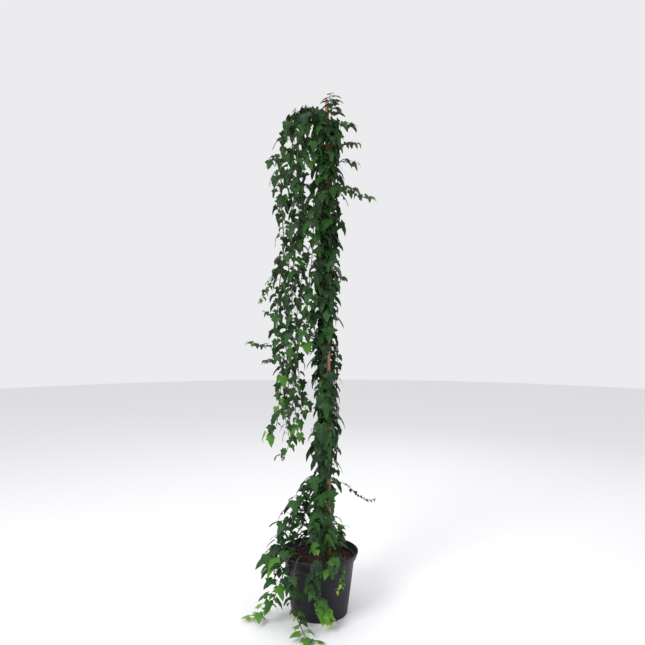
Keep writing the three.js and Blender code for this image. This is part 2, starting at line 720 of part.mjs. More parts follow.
function meets(solid, others) {
  const box = solid.boundingBox();
  const near = (b) => b.min.every((low, i) => low < box.max[i] && b.max[i] > box.min[i]);
  return others.some((other) => near(other.box) && !other.solid.intersect(solid).isEmpty());
}

// A stem with its leaves: each turns until it has room, and is left out where it finds none.
function withLeaves(stem, tube) {
  let grown = tube;
  const others = () => crowd.filter((member) => member.solid !== tube);
  const room = { grow: LEAF.margin, deepen: LEAF.marginDepth };
  const fits = (pose) => {
    const whole = leafSolid(pose, room);
    if (whole.boundingBox().min[2] < CLEARANCE || meets(whole, others())) return false;
    const blade = leafSolid(pose, { ...room, petiole: false });
    return tube.intersect(blade).isEmpty() && isClean(grown.add(leafSolid(pose)));
  };
  const { first, spacing } = stem.leaves;
  for (let count = 0; first + count * spacing < stem.length - 2; count++) {
    const tries = Array.from({ length: LEAF.tries }, (_, attempt) => leafPose(stem, count, attempt));
    const pose = tries.find(fits);
    if (pose) {
      const leaf = leafSolid(pose);
      grown = grown.add(leaf);
      join(leaf);
    }
  }
  return grown;
}

// ---- Ties ----

// A loop round the cane and its stems, with a twisted tail.
function tieSolid(height, index) {
  const ring = (climberRing + STEM.climberRadius[0] + TIE.radius + 3 * CLEARANCE) / Math.cos(radians(TIE.tilt));
  const loop = solidOf(new THREE.TorusGeometry(ring, TIE.radius, 4, 16));
  const tail = solidOf(
    new THREE.CylinderGeometry(TIE.radius * 1.2, TIE.radius * 0.6, TIE.tail, 4)
      .rotateZ(Math.PI / 2)
      .translate(ring + TIE.tail / 2, 0, 0),
  );
  return loop
    .add(tail)
    .rotate([TIE.tilt, 0, index * 50 - 60])
    .translate(caneAxis(height).toArray());
}

// ---- Assembly ----

const finishes = {
  pot: { color: 0x1b1c22, roughness: 0.6 },
  soil: { color: 0x1f1511, roughness: 1 },
  cane: { color: 0xb07a45, roughness: 0.6 },
  tie: { color: 0xb9a98a, roughness: 0.8 },
  leaf: { color: 0x24491c, roughness: 0.45 },
};

const plant = new THREE.Group();

function addPiece(name, solid, finish) {
  const mesh = new THREE.Mesh(
    geometryOf(solid),
    new THREE.MeshStandardMaterial({ ...finishes[finish], metalness: 0 }),
  );
  mesh.name = name;
  plant.add(mesh);
}

const stems = growStems();
const tubes = stems.map((stem) => stem.solid());
const rooted = stems.filter((stem) => stem.places[0].z < soilTop);
const pot = potSolid();
const soil = soilSolid([caneSolid(CLEARANCE), ...rooted.map((stem) => stem.solid(CLEARANCE))]);
const cane = caneSolid();
const ties = tieHeights.map(tieSolid);
[pot, soil, cane, ...ties, ...tubes].forEach(join);

addPiece('pot', pot, 'pot');
addPiece('soil', soil, 'soil');
addPiece('bamboo_cane', cane, 'cane');
ties.forEach((tie, i) => addPiece(`tie_${i + 1}`, tie, 'tie'));
stems.forEach((stem, i) => addPiece(stem.name, withLeaves(stem, tubes[i]), 'leaf'));

export default plant;
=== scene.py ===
"""Climbing ivy in a nursery pot, with its cane and ties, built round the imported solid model."""

import bisect
import json
import math

import bpy
from bpy.props import FloatProperty, FloatVectorProperty, IntProperty, PointerProperty
from mathutils import Matrix, Vector, noise
from mathutils.kdtree import KDTree

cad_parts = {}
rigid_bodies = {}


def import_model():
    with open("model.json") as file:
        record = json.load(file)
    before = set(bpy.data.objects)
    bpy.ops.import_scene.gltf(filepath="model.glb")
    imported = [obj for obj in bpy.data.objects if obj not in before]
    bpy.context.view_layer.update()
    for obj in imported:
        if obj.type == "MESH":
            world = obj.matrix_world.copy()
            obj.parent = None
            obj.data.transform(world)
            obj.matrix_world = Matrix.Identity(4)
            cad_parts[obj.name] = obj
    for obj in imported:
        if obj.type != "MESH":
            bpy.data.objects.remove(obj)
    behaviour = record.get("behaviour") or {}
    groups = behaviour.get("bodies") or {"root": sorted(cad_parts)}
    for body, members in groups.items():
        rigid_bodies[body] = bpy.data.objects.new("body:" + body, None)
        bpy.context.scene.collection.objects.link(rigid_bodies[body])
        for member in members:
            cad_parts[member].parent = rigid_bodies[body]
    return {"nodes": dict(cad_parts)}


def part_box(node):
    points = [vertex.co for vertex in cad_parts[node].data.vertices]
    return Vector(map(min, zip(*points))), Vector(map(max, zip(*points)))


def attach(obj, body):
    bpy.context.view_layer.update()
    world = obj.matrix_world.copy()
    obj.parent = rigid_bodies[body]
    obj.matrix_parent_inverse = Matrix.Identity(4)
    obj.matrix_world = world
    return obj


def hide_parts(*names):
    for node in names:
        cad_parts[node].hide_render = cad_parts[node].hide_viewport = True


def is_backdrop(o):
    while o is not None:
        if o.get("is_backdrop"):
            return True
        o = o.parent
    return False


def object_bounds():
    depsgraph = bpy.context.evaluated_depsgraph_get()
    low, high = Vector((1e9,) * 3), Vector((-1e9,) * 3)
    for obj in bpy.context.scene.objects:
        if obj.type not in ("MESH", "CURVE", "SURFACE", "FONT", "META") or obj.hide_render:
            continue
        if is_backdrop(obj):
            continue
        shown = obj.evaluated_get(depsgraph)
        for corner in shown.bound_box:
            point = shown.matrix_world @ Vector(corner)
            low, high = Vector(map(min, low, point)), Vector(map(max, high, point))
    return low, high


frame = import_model()
CAD_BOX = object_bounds()

bl_info = {
    "name": "Potted Ivy",
    "version": (1, 0, 0),
    "blender": (4, 5, 0),
    "location": "3D View > Sidebar > Potted Ivy",
    "description": "Builds a climbing ivy on a cane in a nursery pot",
    "category": "Add Mesh",
}

BODY = "root"
MM = 0.001
UP = Vector((0, 0, 1))
NOISE_SEED = 11  # vector noise takes its seed from the clock if it is given none

# ---- Sizes shared with the solid model, in millimetres and degrees ----

POT_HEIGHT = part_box("pot")[1].z / MM
RIM_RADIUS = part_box("pot")[1].x / MM
COLLAR_HEIGHT = 25
COLLAR_FLARE = 7
COLLAR_STEP = 7
BASE_RADIUS = 101
WALL = 2
LIP = 3  # the rim's width
FLOOR_TOP = 7
FOOT_WIDTH = 13
CENTRE_RADIUS = 58  # the disc that also touches the ground
RECESS = 4  # of the ring between the disc and the foot
HOLE_RADIUS = 6
HOLES = 6
SHOULDER = POT_HEIGHT - COLLAR_HEIGHT
BODY_TOP_RADIUS = RIM_RADIUS - COLLAR_FLARE - COLLAR_STEP

SOIL_TOP = POT_HEIGHT - 26
SOIL_DISHING = 4

CLEARANCE = 0.3
CANE_FOOT = Vector((35, 10, FLOOR_TOP + CLEARANCE))
CANE_HEAD = Vector((27, 10, 1847))
CANE_RADIUS = (8.5, 7.5)
CANE_JOINT_EVERY = 232
CANE_JOINT_SWELL = 1.3
CANE_JOINT_LENGTH = 9
CANE_BORE = (3.6, 30)
CANE_SHOWS = ((340, 520), (640, 685), (850, 1000))  # heights between which extra leaves leave the cane bare
CANE_SHOWS_ACROSS = (-22, 60)  # from the cane, left and right
CANE_SHOWS_BACK = 12  # behind the cane

TIE_SHARES = (0.185, 0.3, 0.49, 0.67, 0.85)
TIE_RADIUS = 1.1
TIE_TAIL = 14
TIE_TILT = 4

STEM_STEP = 75
ROOT_DEPTH = 22
END_BELOW_CANE = 75
END_EASE = 6  # how far a climbing stem's ends stand off its ring
CLIMBER_RADIUS = (3, 2)
CLIMBER_RING = CANE_RADIUS[0] + CANE_JOINT_SWELL + CLIMBER_RADIUS[0] + 2 * CLEARANCE

PETIOLE_SHARES = (0.32, 0.72)
PETIOLE_LIFT = 30
SIZE_SPREAD = 0.2
TURN_SPREAD = 35
DIP_SPREAD = 18
ROLL_SPREAD = 22
TRIES = 14
TRY_TURN = 47
FLOOR_EASE = 1.5
GOLDEN_SHARE = 0.618034
TIP_DROP = 0.17
BLADE_MIDDLE = 0.35  # along the blade, as a share of its length

# How far an extra blade keeps from what holds the plant, and how far inside the rim its band is centred.
ROOM = {"cane": 4, "soil": 3, "pot": 8, "rim": 16, "above rim": 5, "floor": 4}
RIM_INSET = 6

# ---- Routes of the stems, as in the solid model ----

CLIMBERS = (
    {"azimuths": (215, 185, 205, 230, 270, 310, 290), "bow": 10, "leaves": {"first": 70, "spacing": 44}},
    {"azimuths": (150, 145, 160, 190, 225, 250, 235), "bow": 14, "leaves": {"first": 60, "spacing": 48}},
    {"azimuths": (110, 105, 120, 145, 175, 195, 180), "bow": 9, "leaves": {"first": 380, "spacing": 58}},
    {
        "azimuths": (60, 65, 75, 90, 110, 130, 120), "bow": 11,
        "leaves": {"first": 400, "spacing": 62, "towards": 105, "spread": 50},
    },
    {"azimuths": (262, 240, 250, 262, 325, 360, 340), "bow": 8, "leaves": {"first": 85, "spacing": 42}},
)

LEAF_TRAITS = ("size", "spacing", "droop", "first", "tip", "towards", "spread")
IN_SOIL = None


def shoot(name, start, radius, traits, *route):
    """A shoot: the stem that it leaves and the height, or its root; its radii, leaf traits and route."""
    leaves = {"spread": 140, "towards": None, **dict(zip(LEAF_TRAITS, traits))}
    return {"name": name, "start": start, "radius": radius, "leaves": leaves, "route": route}


CLIMBER_LEAVES = {"droop": 60, "tip": 0.8, "spread": 75, "towards": None}

# Shoots of the crown, with heights from the cane's top.
CROWN_SHOOTS = (
    shoot(
        "hanging_shoot_1", ("climbing_stem_2", -75), (2, 1.1), (50, 43, 60, 45, 0.75, 235),
        (-25, -25, -42), (-75, -30, -57), (-112, -30, -112), (-135, -25, -227), (-135, -20, -387),
        (-128, -20, -547), (-145, -25, -697), (-150, -25, -852), (-135, -20, -982), (-145, -20, -1092),
        (-155, -25, -1177), (-190, -30, -1227),
    ),
    shoot(
        "hanging_shoot_2", ("climbing_stem_3", -75), (2, 1.1), (50, 45, 58, 55, 0.75, 215),
        (-25, 15, -42), (-65, 20, -47), (-92, 20, -112), (-105, 15, -252), (-100, 15, -417), (-110, 10, -572),
        (-115, 10, -727), (-122, 10, -872), (-112, 5, -1022), (-125, 5, -1132), (-110, 0, -1217),
        (-115, 0, -1262), (-135, -5, -1307),
    ),
    shoot(
        "hanging_shoot_3", ("climbing_stem_1", -75), (2, 1), (48, 44, 60, 40, 0.8, 255),
        (-20, -45, -67), (-55, -55, -85), (-72, -55, -167), (-80, -50, -297), (-72, -45, -427),
        (-85, -40, -552), (-95, -45, -672), (-98, -45, -807), (-100, -40, -927), (-90, -40, -1062),
        (-80, -40, -1167), (-70, -45, -1227),
    ),
    shoot(
        "hanging_shoot_4", ("climbing_stem_4", -75), (2, 1), (48, 50, 58, 60, 0.8, 150),
        (-15, 50, -52), (-42, 55, -87), (-55, 50, -207), (-60, 45, -337), (-65, 40, -462), (-60, 40, -577),
        (-72, 45, -687), (-85, 40, -807), (-80, 38, -917), (-75, 35, -1012), (-55, 30, -1082),
        (-50, 30, -1147),
    ),
    shoot(
        "hanging_shoot_5", ("climbing_stem_1", -122), (1.5, 0.9), (44, 38, 55, 30, 0.8, 250),
        (-8, -42, -135), (-25, -45, -197), (-30, -42, -267),
    ),
    shoot(
        "hanging_shoot_6", ("climbing_stem_1", -347), (1.6, 0.9), (52, 38, 58, 35, 0.8, 260),
        (-5, -50, -367), (-20, -58, -472), (-25, -58, -567), (-35, -58, -667), (-45, -52, -762),
        (-45, -50, -842), (-35, -50, -912),
    ),
    shoot(
        "crown_shoot", ("climbing_stem_5", -75), (1.8, 1.2), (42, 15, 20, 12, 0.8, 270),
        (44, -6, -47), (42, -12, -19), (34, -12, 6),
    ),
    shoot(
        "left_shoot_1", ("hanging_shoot_1", -607), (1.2, 0.8), (25, 27, 50, 25, 0.7, 220),
        (-159, -36, -631), (-184, -44, -692), (-215, -50, -742),
    ),
    shoot(
        "left_shoot_2", ("hanging_shoot_1", -882), (1.3, 0.8), (38, 24, 25, 32, 0.5, 220),
        (-185, -40, -892), (-225, -50, -889), (-258, -55, -875),
    ),
    shoot(
        "left_shoot_3", ("hanging_shoot_1", -787), (1.1, 0.8), (27, 22, 40, 20, 0.7, 200),
        (-175, -15, -781), (-202, -10, -765),
    ),
    shoot(
        "left_shoot_4", ("hanging_shoot_2", -932), (1.1, 0.8), (30, 24, 45, 30, 0.7, 200),
        (-160, 12, -942), (-202, 15, -954),
    ),
    shoot(
        "left_shoot_5", ("hanging_shoot_1", -207), (1.2, 0.8), (32, 26, 55, 22, 0.8, 220),
        (-158, -38, -215), (-178, -45, -257),
    ),
    shoot(
        "right_shoot_1", ("climbing_stem_5", -322), (1.5, 0.8), (40, 29, 40, 32, 0.5, 290),
        (86, -23, -329), (121, -31, -346), (156, -40, -363), (196, -45, -371),
    ),
    shoot(
        "right_shoot_2", ("climbing_stem_5", -105), (1.4, 0.9), (38, 30, 45, 25, 0.8, 290),
        (85, -15, -95), (125, -22, -109),
    ),
    shoot(
        "right_shoot_3", ("climbing_stem_4", -162), (1.4, 0.9), (36, 33, 45, 30, 0.6, 300),
        (61, 41, -156), (104, 43, -149), (148, 40, -151),
    ),
    shoot(
        "right_shoot_4", ("climbing_stem_5", -229), (1.4, 0.9), (40, 32, 50, 28, 0.7, 290),
        (90, -22, -232), (133, -32, -249),
    ),
    shoot(
        "right_shoot_5", ("climbing_stem_4", -642), (1.2, 0.8), (34, 30, 50, 28, 0.6, 300),
        (58, 34, -639), (96, 30, -651),
    ),
    shoot(
        "right_shoot_6", ("climbing_stem_4", -862), (1.5, 0.8), (30, 42, 65, 35, 0.8, 320, 60),
        (54, 36, -892), (54, 38, -1007), (56, 34, -1147), (54, 34, -1272), (52, 32, -1367),
    ),
)

# Shoots of the foot, with heights from the soil's top.
FOOT_SHOOTS = (
    shoot(
        "right_shoot_7", ("climbing_stem_4", 268), (1.2, 0.7), (17, 36, 30, 60, 0.8, 300),
        (95, 55, 248), (140, 78, 201), (180, 85, 178), (210, 86, 182),
    ),
    shoot(
        "base_shoot_1", ("climbing_stem_1", 298), (1.8, 1), (46, 31, 40, 22, 0.95, 235),
        (-48, -42, 258), (-85, -52, 194), (-117, -55, 131), (-142, -52, 76), (-160, -45, 28), (-174, -38, -8),
    ),
    shoot(
        "base_shoot_2", ("climbing_stem_2", 261), (1.6, 1), (46, 30, 40, 25, 0.8, 225),
        (-30, 18, 231), (-68, 10, 156), (-98, 0, 96), (-118, -8, 58),
    ),
    shoot(
        "base_shoot_3", ("climbing_stem_5", 246), (1.6, 1), (44, 28, 50, 20, 0.8, 260),
        (-5, -52, 221), (-14, -78, 156), (-12, -92, 91), (-10, -98, 46),
    ),
    shoot(
        "base_shoot_4", ("climbing_stem_5", 136), (1.5, 1), (42, 22, 35, 16, 0.8, 290),
        (32, -42, 124), (34, -62, 101), (30, -78, 74),
    ),
    shoot(
        "base_shoot_5", IN_SOIL, (1.6, 1), (42, 27, 35, 55, 0.8, 300),
        (58, 12, -22), (60, 10, 41), (70, 4, 86), (84, -2, 118),
    ),
    shoot(
        "base_shoot_6", IN_SOIL, (1.8, 1), (46, 27, 30, 50, 0.8, 130),
        (-20, 45, -22), (-28, 50, 46), (-50, 62, 106), (-70, 78, 136),
    ),
    shoot(
        "base_shoot_7", IN_SOIL, (1.8, 1), (46, 27, 30, 50, 0.8, 70),
        (30, 55, -22), (34, 64, 46), (44, 84, 96), (52, 100, 106),
    ),
)

# Shoots over the rim. A root is an azimuth and a share of the pot's radius, and a route's points are an
# azimuth, a distance from the rim, and a share of the pot's height.
TRAILING_SHOOTS = (
    shoot(
        "trailing_shoot_1", (213, 0.45), (2, 1), (54, 40, 30, 150, 0.6, 220),
        (221, -45, 1.03), (225, 4, 1.065), (223, 29, 0.81), (217, 44, 0.52), (210, 58, 0.28), (203, 85, 0.1),
        (198, 118, 0.023),
    ),
    shoot(
        "trailing_shoot_2", (242, 0.45), (1.8, 0.9), (48, 52, 30, 165, 0.6, 250),
        (241, -40, 1.02), (240, 4, 1.06), (237, 20, 0.8), (236, 28, 0.47), (241, 33, 0.3), (253, 59, 0.13),
        (261, 93, 0.03), (266, 128, 0.02), (271, 162, 0.02),
    ),
    shoot(
        "trailing_shoot_3", (275, 0.5), (1.8, 0.9), (46, 33, 50, 115, 0.85, 265),
        (269, -40, 1.015), (267, 5, 1.06), (264, 16, 0.87), (264, 15, 0.66), (268, 12, 0.48), (274, 10, 0.31),
        (283, 20, 0.12),
    ),
    shoot(
        "trailing_shoot_4", (317, 0.55), (1.8, 0.9), (44, 27, 45, 75, 0.8, 280),
        (302, -30, 1.025), (291, 6, 1.065), (285, 16, 0.97), (278, 19, 0.87),
    ),
    shoot(
        "trailing_shoot_5", (326, 0.72), (1.3, 0.7), (20, 24, 50, 130, 0.8, 290),
        (313, -14, 1.02), (306, 7, 1.06), (300, 17, 0.86), (298, 15, 0.67), (293, 11, 0.55),
    ),
    shoot(
        "trailing_shoot_6", (193, 0.45), (2, 1), (62, 26, 45, 90, 0.85, 235),
        (203, -34, 1.025), (207, 5, 1.07), (209, 32, 0.91), (210, 43, 0.75),
    ),
    shoot(
        "trailing_shoot_7", (62, 0.65), (1.8, 0.9), (46, 38, 35, 110, 0.6, 70),
        (68, -30, 1.02), (72, 5, 1.065), (75, 20, 0.82), (78, 24, 0.45), (82, 40, 0.14), (86, 74, 0.023),
    ),
    shoot(
        "trailing_shoot_8", (120, 0.6), (1.8, 0.9), (48, 34, 45, 100, 0.7, 130),
        (122, -25, 1.02), (122, 5, 1.065), (122, 30, 0.82), (122, 36, 0.5),
    ),
)

# ---- The leaf's outline: across and along, as shares of the blade's length ----

BLADE_RIM = {
    "notch": (0, 0.03), "heel": (0.07, -0.06), "low_lobe": (0.18, -0.13), "low_side": (0.30, -0.08),
    "low_bay": (0.32, 0.07), "side_edge": (0.43, 0.10), "side_lobe": (0.56, 0.21), "side_back": (0.41, 0.30),
    "high_bay": (0.23, 0.42), "waist": (0.21, 0.55), "shoulder": (0.17, 0.72), "neck": (0.085, 0.88),
    "tip": (0, 1),
}
BLADE_INSIDE = {
    "petiole": (0, 0.06), "low_rib": (0, 0.35), "high_rib": (0, 0.65), "side_vein": (0.25, 0.17),
    "low_vein": (0.16, -0.03),
}
BLADE_FACES = (
    ("petiole", "notch", "heel", "low_vein"), ("low_vein", "heel", "low_lobe"),
    ("low_vein", "low_lobe", "low_side"), ("petiole", "low_vein", "side_vein"),
    ("low_vein", "low_side", "low_bay", "side_vein"),
    ("side_vein", "low_bay", "side_edge"), ("side_vein", "side_edge", "side_lobe"),
    ("side_vein", "side_lobe", "side_back"), ("side_vein", "side_back", "high_bay"),
    ("petiole", "side_vein", "high_bay", "low_rib"), ("low_rib", "high_bay", "waist", "high_rib"),
    ("high_rib", "waist", "shoulder"), ("high_rib", "shoulder", "neck", "tip"),
)
# How broad each kind of blade is, how deep its bays are, how far its side lobes reach, and its twist.
BLADE_KINDS = (
    (1.0, 1.0, 1.0, 0.10), (0.86, 0.88, 0.98, -0.14), (1.04, 1.12, 0.95, -0.06), (0.94, 1.22, 0.84, 0.16),
)
BUD_KIND = 3
BUD_LENGTH = 20  # blades shorter than this are all of the bud kind
BLADE_HALF_THICK = 0.006
VEIN_ANGLES = (0, 57, 122)  # from the tip's direction, one pair after the other

# ---- Helpers ----


def lerp(low, high, share):
    return low + (high - low) * share


def fraction(value):
    return value - math.floor(value)


def clamp(value, low=0.0, high=1.0):
    return max(low, min(high, value))


def polar(centre, distance, azimuth, z):
    """A point at a distance and azimuth from a vertical line."""
    turn = math.radians(azimuth)
    return Vector((centre[0] + distance * math.cos(turn), centre[1] + distance * math.sin(turn), z))


def cane_axis(z):
    """The cane's axis at a height."""
    return CANE_FOOT.lerp(CANE_HEAD, (z - CANE_FOOT.z) / (CANE_HEAD.z - CANE_FOOT.z))


def pot_radius(z):
    """The pot's outer radius below its collar."""
    return lerp(BASE_RADIUS, BODY_TOP_RADIUS, z / SHOULDER)


def add_object(name, mesh):
    made = bpy.data.objects.new(name, mesh)
    bpy.context.scene.collection.objects.link(made)
    return made


def add_mesh(name, vertices, edges=(), faces=()):
    """A mesh object from millimetres."""
    mesh = bpy.data.meshes.new(name)
    mesh.from_pydata([Vector(v) * MM for v in vertices], edges, faces)
    mesh.update()
    return add_object(name, mesh)


def set_attribute(mesh, name, kind, values):
    layer = mesh.attributes.new(name, kind, "POINT")
    layer.data.foreach_set("value", values)


def evaluated_mesh(made):
    """The mesh that an object's modifiers make."""
    bpy.context.view_layer.update()
    depsgraph = bpy.context.evaluated_depsgraph_get()
    return bpy.data.meshes.new_from_object(made.evaluated_get(depsgraph), depsgraph=depsgraph)


def keep_evaluated(made):
    """Puts the result of an object's modifiers in place of them."""
    mesh = evaluated_mesh(made)
    made.modifiers.clear()
    made.data = mesh


def settle(made, slot, *nodes):
    """Joins a finished piece to the frame, in place of its solids."""
    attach(made, BODY)
    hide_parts(*nodes)


def turned(name, outline, sides, place=None):
    """A closed turned shape about +Z, from radius and height pairs that start and end on the axis."""
    vertices, rings, faces = [], [], []
    for radius, z in outline:
        if radius < 1e-6:
            rings.append([len(vertices)] * sides)
            vertices.append(Vector((0, 0, z)))
        else:
            rings.append(list(range(len(vertices), len(vertices) + sides)))
            vertices += [polar((0, 0), radius, 360 * i / sides, z) for i in range(sides)]
    for low, high in zip(rings, rings[1:]):
        for i in range(sides):
            j = (i + 1) % sides
            corners = [low[i], low[j], high[j], high[i]]
            faces.append(list(dict.fromkeys(corners)))
    if place:
        vertices = [place(v) for v in vertices]
    return add_mesh(name, vertices, faces=faces)


def rounded(outline, reach, steps=3):
    """An outline with its inner corners rounded, each within a reach of the corner."""
    points = [Vector(p) for p in outline]
    made = [points[0]]
    for before, corner, after in zip(points, points[1:], points[2:]):
        near = corner + (before - corner).normalized() * min(reach, (before - corner).length / 2)
        far = corner + (after - corner).normalized() * min(reach, (after - corner).length / 2)
        for i in range(steps + 1):
            share = i / steps
            made.append(near.lerp(corner, share).lerp(corner.lerp(far, share), share))
    return made + [points[-1]]


def shade_smooth(mesh, sharp_from=40):
    mesh.polygons.foreach_set("use_smooth", [True] * len(mesh.polygons))
    mesh.set_sharp_from_angle(angle=math.radians(sharp_from))


# ---- Node trees ----


class Nodes:
    """Adds nodes to a tree, with each input given as a value or as the socket that feeds it."""

    def __init__(self, tree):
        self.tree = tree

    def add(self, kind, inputs=None, **settings):
        node = self.tree.nodes.new(kind)
        for name, value in settings.items():
            setattr(node, name, value)
        for key, value in (inputs or {}).items():
            if isinstance(value, bpy.types.NodeSocket):
                self.tree.links.new(value, node.inputs[key])
            else:
                node.inputs[key].default_value = value
        return node

    def math(self, operation, first, second=0.0, third=0.0, clamped=False):
        inputs = {0: first, 1: second, 2: third}
        return self.add("ShaderNodeMath", inputs, operation=operation, use_clamp=clamped).outputs[0]

    def mix(self, share, first, second, blend="MIX"):
        """Two colours mixed."""
        inputs = {0: share, 6: first, 7: second}
        return self.add("ShaderNodeMix", inputs, data_type="RGBA", blend_type=blend).outputs[2]

    def choose(self, share, first, second):
        """The first number where share is 0, and the second where it is 1."""
        return self.add("ShaderNodeMix", {0: share, 2: first, 3: second}, data_type="FLOAT").outputs[0]

    def ramp(self, value, low, high, to_low=0.0, to_high=1.0):
        inputs = {0: value, 1: low, 2: high, 3: to_low, 4: to_high}
        return self.add("ShaderNodeMapRange", inputs, interpolation_type="SMOOTHSTEP").outputs[0]

    def noise(self, place, scale, detail=3.0, roughness=0.55):
        inputs = {"Vector": place, "Scale": scale, "Detail": detail, "Roughness": roughness}
        return self.add("ShaderNodeTexNoise", inputs).outputs["Fac"]

    def stretched(self, place, scale):
        """Coordinates scaled by a different amount each way."""
        return self.add("ShaderNodeMapping", {"Vector": place, "Scale": scale}).outputs[0]

    def attribute(self, name):
        return self.add("ShaderNodeAttribute", attribute_name=name).outputs["Fac"]

    def place(self):
        return self.add("ShaderNodeTexCoord").outputs["Object"]

    def split(self, vector):
        return self.add("ShaderNodeSeparateXYZ", {0: vector}).outputs

    def surface(self, colour, roughness, height, relief, gloss=0.5):
        """A principled surface with a bump of a height in metres."""
        bump = self.add("ShaderNodeBump", {"Height": height, "Distance": relief, "Strength": 1.0})
        shader = self.add(
            "ShaderNodeBsdfPrincipled",
            {
                "Base Color": colour,
                "Roughness": roughness,
                "Specular IOR Level": gloss,
                "Normal": bump.outputs[0],
            },
        )
        self.add("ShaderNodeOutputMaterial", {"Surface": shader.outputs[0]})


def new_material(name):
    material = bpy.data.materials.new(name)
    material.use_nodes = True
    material.node_tree.nodes.clear()
    return material, Nodes(material.node_tree)


def rgba(colour):
    return (*colour, 1.0)


def geometry_tree(name, inputs):
    """A geometry tree with a geometry input and output and the named inputs, of socket type and name."""
    tree = bpy.data.node_groups.new(name, "GeometryNodeTree")
    tree.interface.new_socket("Geometry", in_out="INPUT", socket_type="NodeSocketGeometry")
    tree.interface.new_socket("Geometry", in_out="OUTPUT", socket_type="NodeSocketGeometry")
    for label, kind in inputs:
        tree.interface.new_socket(label, in_out="INPUT", socket_type=kind)
    nodes = Nodes(tree)
    return tree, nodes, nodes.add("NodeGroupInput").outputs


def run_tree(made, tree, values):
    """Runs a tree on an object with its inputs set, and keeps the result as the object's mesh."""
    modifier = made.modifiers.new(tree.name, "NODES")
    modifier.node_group = tree
    identifiers = {
        item.name: item.identifier for item in tree.interface.items_tree if item.in_out == "INPUT"
    }
    for label, value in values.items():
        modifier[identifiers[label]] = value
    keep_evaluated(made)


def tubes(nodes, lines, sides):
    """Closed tubes along the edges of a mesh, as thick as its attribute says."""
    curves = nodes.add("GeometryNodeMeshToCurve", {"Mesh": lines}).outputs[0]
    thick = nodes.add("GeometryNodeInputNamedAttribute", {"Name": "thick"}, data_type="FLOAT").outputs[0]
    profile = nodes.add("GeometryNodeCurvePrimitiveCircle", {"Resolution": sides, "Radius": 1.0}).outputs[0]
    inputs = {"Curve": curves, "Profile Curve": profile, "Scale": thick, "Fill Caps": True}
    return nodes.add("GeometryNodeCurveToMesh", inputs).outputs[0]


def painted(nodes, geometry, material):
    smooth = nodes.add("GeometryNodeSetShadeSmooth", {"Geometry": geometry}).outputs[0]
    return nodes.add("GeometryNodeSetMaterial", {"Geometry": smooth, "Material": material}).outputs[0]


def cord_tree():
    """Tubes along a mesh's edges, with a material."""
    inputs = [("Sides", "NodeSocketInt"), ("Finish", "NodeSocketMaterial")]
    tree, nodes, given = geometry_tree("tubes", inputs)
    made = tubes(nodes, given["Geometry"], given["Sides"])
    real = nodes.add("GeometryNodeRealizeInstances", {"Geometry": made}).outputs[0]
    nodes.add("NodeGroupOutput", {"Geometry": painted(nodes, real, given["Finish"])})
    return tree


class Lines:
    """Open lines with a thickness and an age at each point, gathered in one mesh."""

    def __init__(self):
        self.points, self.edges, self.thick, self.age = [], [], [], []

    def add(self, points, thick, age):
        first = len(self.points)
        self.points += points
        self.edges += [(i, i + 1) for i in range(first, len(self.points) - 1)]
        self.thick += [t * MM for t in thick]
        self.age += age

    def object(self, name):
        made = add_mesh(name, self.points, self.edges)
        set_attribute(made.data, "thick", "FLOAT", self.thick)
        set_attribute(made.data, "age", "FLOAT", self.age)
        return made


# ---- Finishes ----


def pot_finish(settings):
    """Dark moulded plastic, scuffed at its rim and foot and dusty where soil has splashed."""
    material, nodes = new_material("moulded_plastic")
    place = nodes.place()
    height = nodes.split(place)[2]
    top = POT_HEIGHT * MM
    cloud = nodes.noise(place, 9, 5)
    fine = nodes.noise(place, 420, 2)
    scratches = nodes.noise(nodes.stretched(place, (60, 60, 900)), 1, 2)
    near_rim = nodes.ramp(height, top - 0.006, top)
    near_foot = nodes.ramp(height, 0.0, 0.012, 1.0, 0.0)
    worn = nodes.math("MULTIPLY", nodes.math("MAXIMUM", near_rim, near_foot), nodes.ramp(fine, 0.45, 0.7))
    dust = nodes.math("MULTIPLY", nodes.ramp(cloud, 0.48, 0.72), 0.2)
    base = nodes.mix(dust, rgba(settings.colour), rgba(settings.dust_colour))
    colour = nodes.mix(nodes.math("MULTIPLY", worn, settings.wear), base, rgba(settings.worn_colour))
    scuffed = nodes.math("ADD", cloud, nodes.math("MULTIPLY", scratches, 0.3))
    roughness = nodes.ramp(scuffed, 0.4, 0.9, 0.38, 0.62)
    relief = nodes.math("ADD", fine, nodes.math("MULTIPLY", scratches, 0.4))
    nodes.surface(colour, roughness, relief, 0.00012, settings.gloss)
    return material


def soil_finish(settings):
    """Moist peat: dark red-brown crumbs with paler fibres."""
    material, nodes = new_material("peat")
    place = nodes.place()
    lumps = nodes.noise(place, 90, 6, 0.7)
    grains = nodes.noise(place, 900, 4, 0.6)
    fibres = nodes.noise(nodes.stretched(place, (2200, 300, 600)), 1, 3)
    base = nodes.mix(nodes.ramp(lumps, 0.35, 0.7), rgba(settings.wet_colour), rgba(settings.dry_colour))
    colour = nodes.mix(nodes.ramp(fibres, 0.62, 0.75, 0.0, 0.55), base, rgba(settings.fibre_colour))
    relief = nodes.math("ADD", lumps, nodes.math("MULTIPLY", grains, 0.6))
    nodes.surface(colour, nodes.ramp(grains, 0.3, 0.7, 0.8, 1.0), relief, 0.0012)
    return material


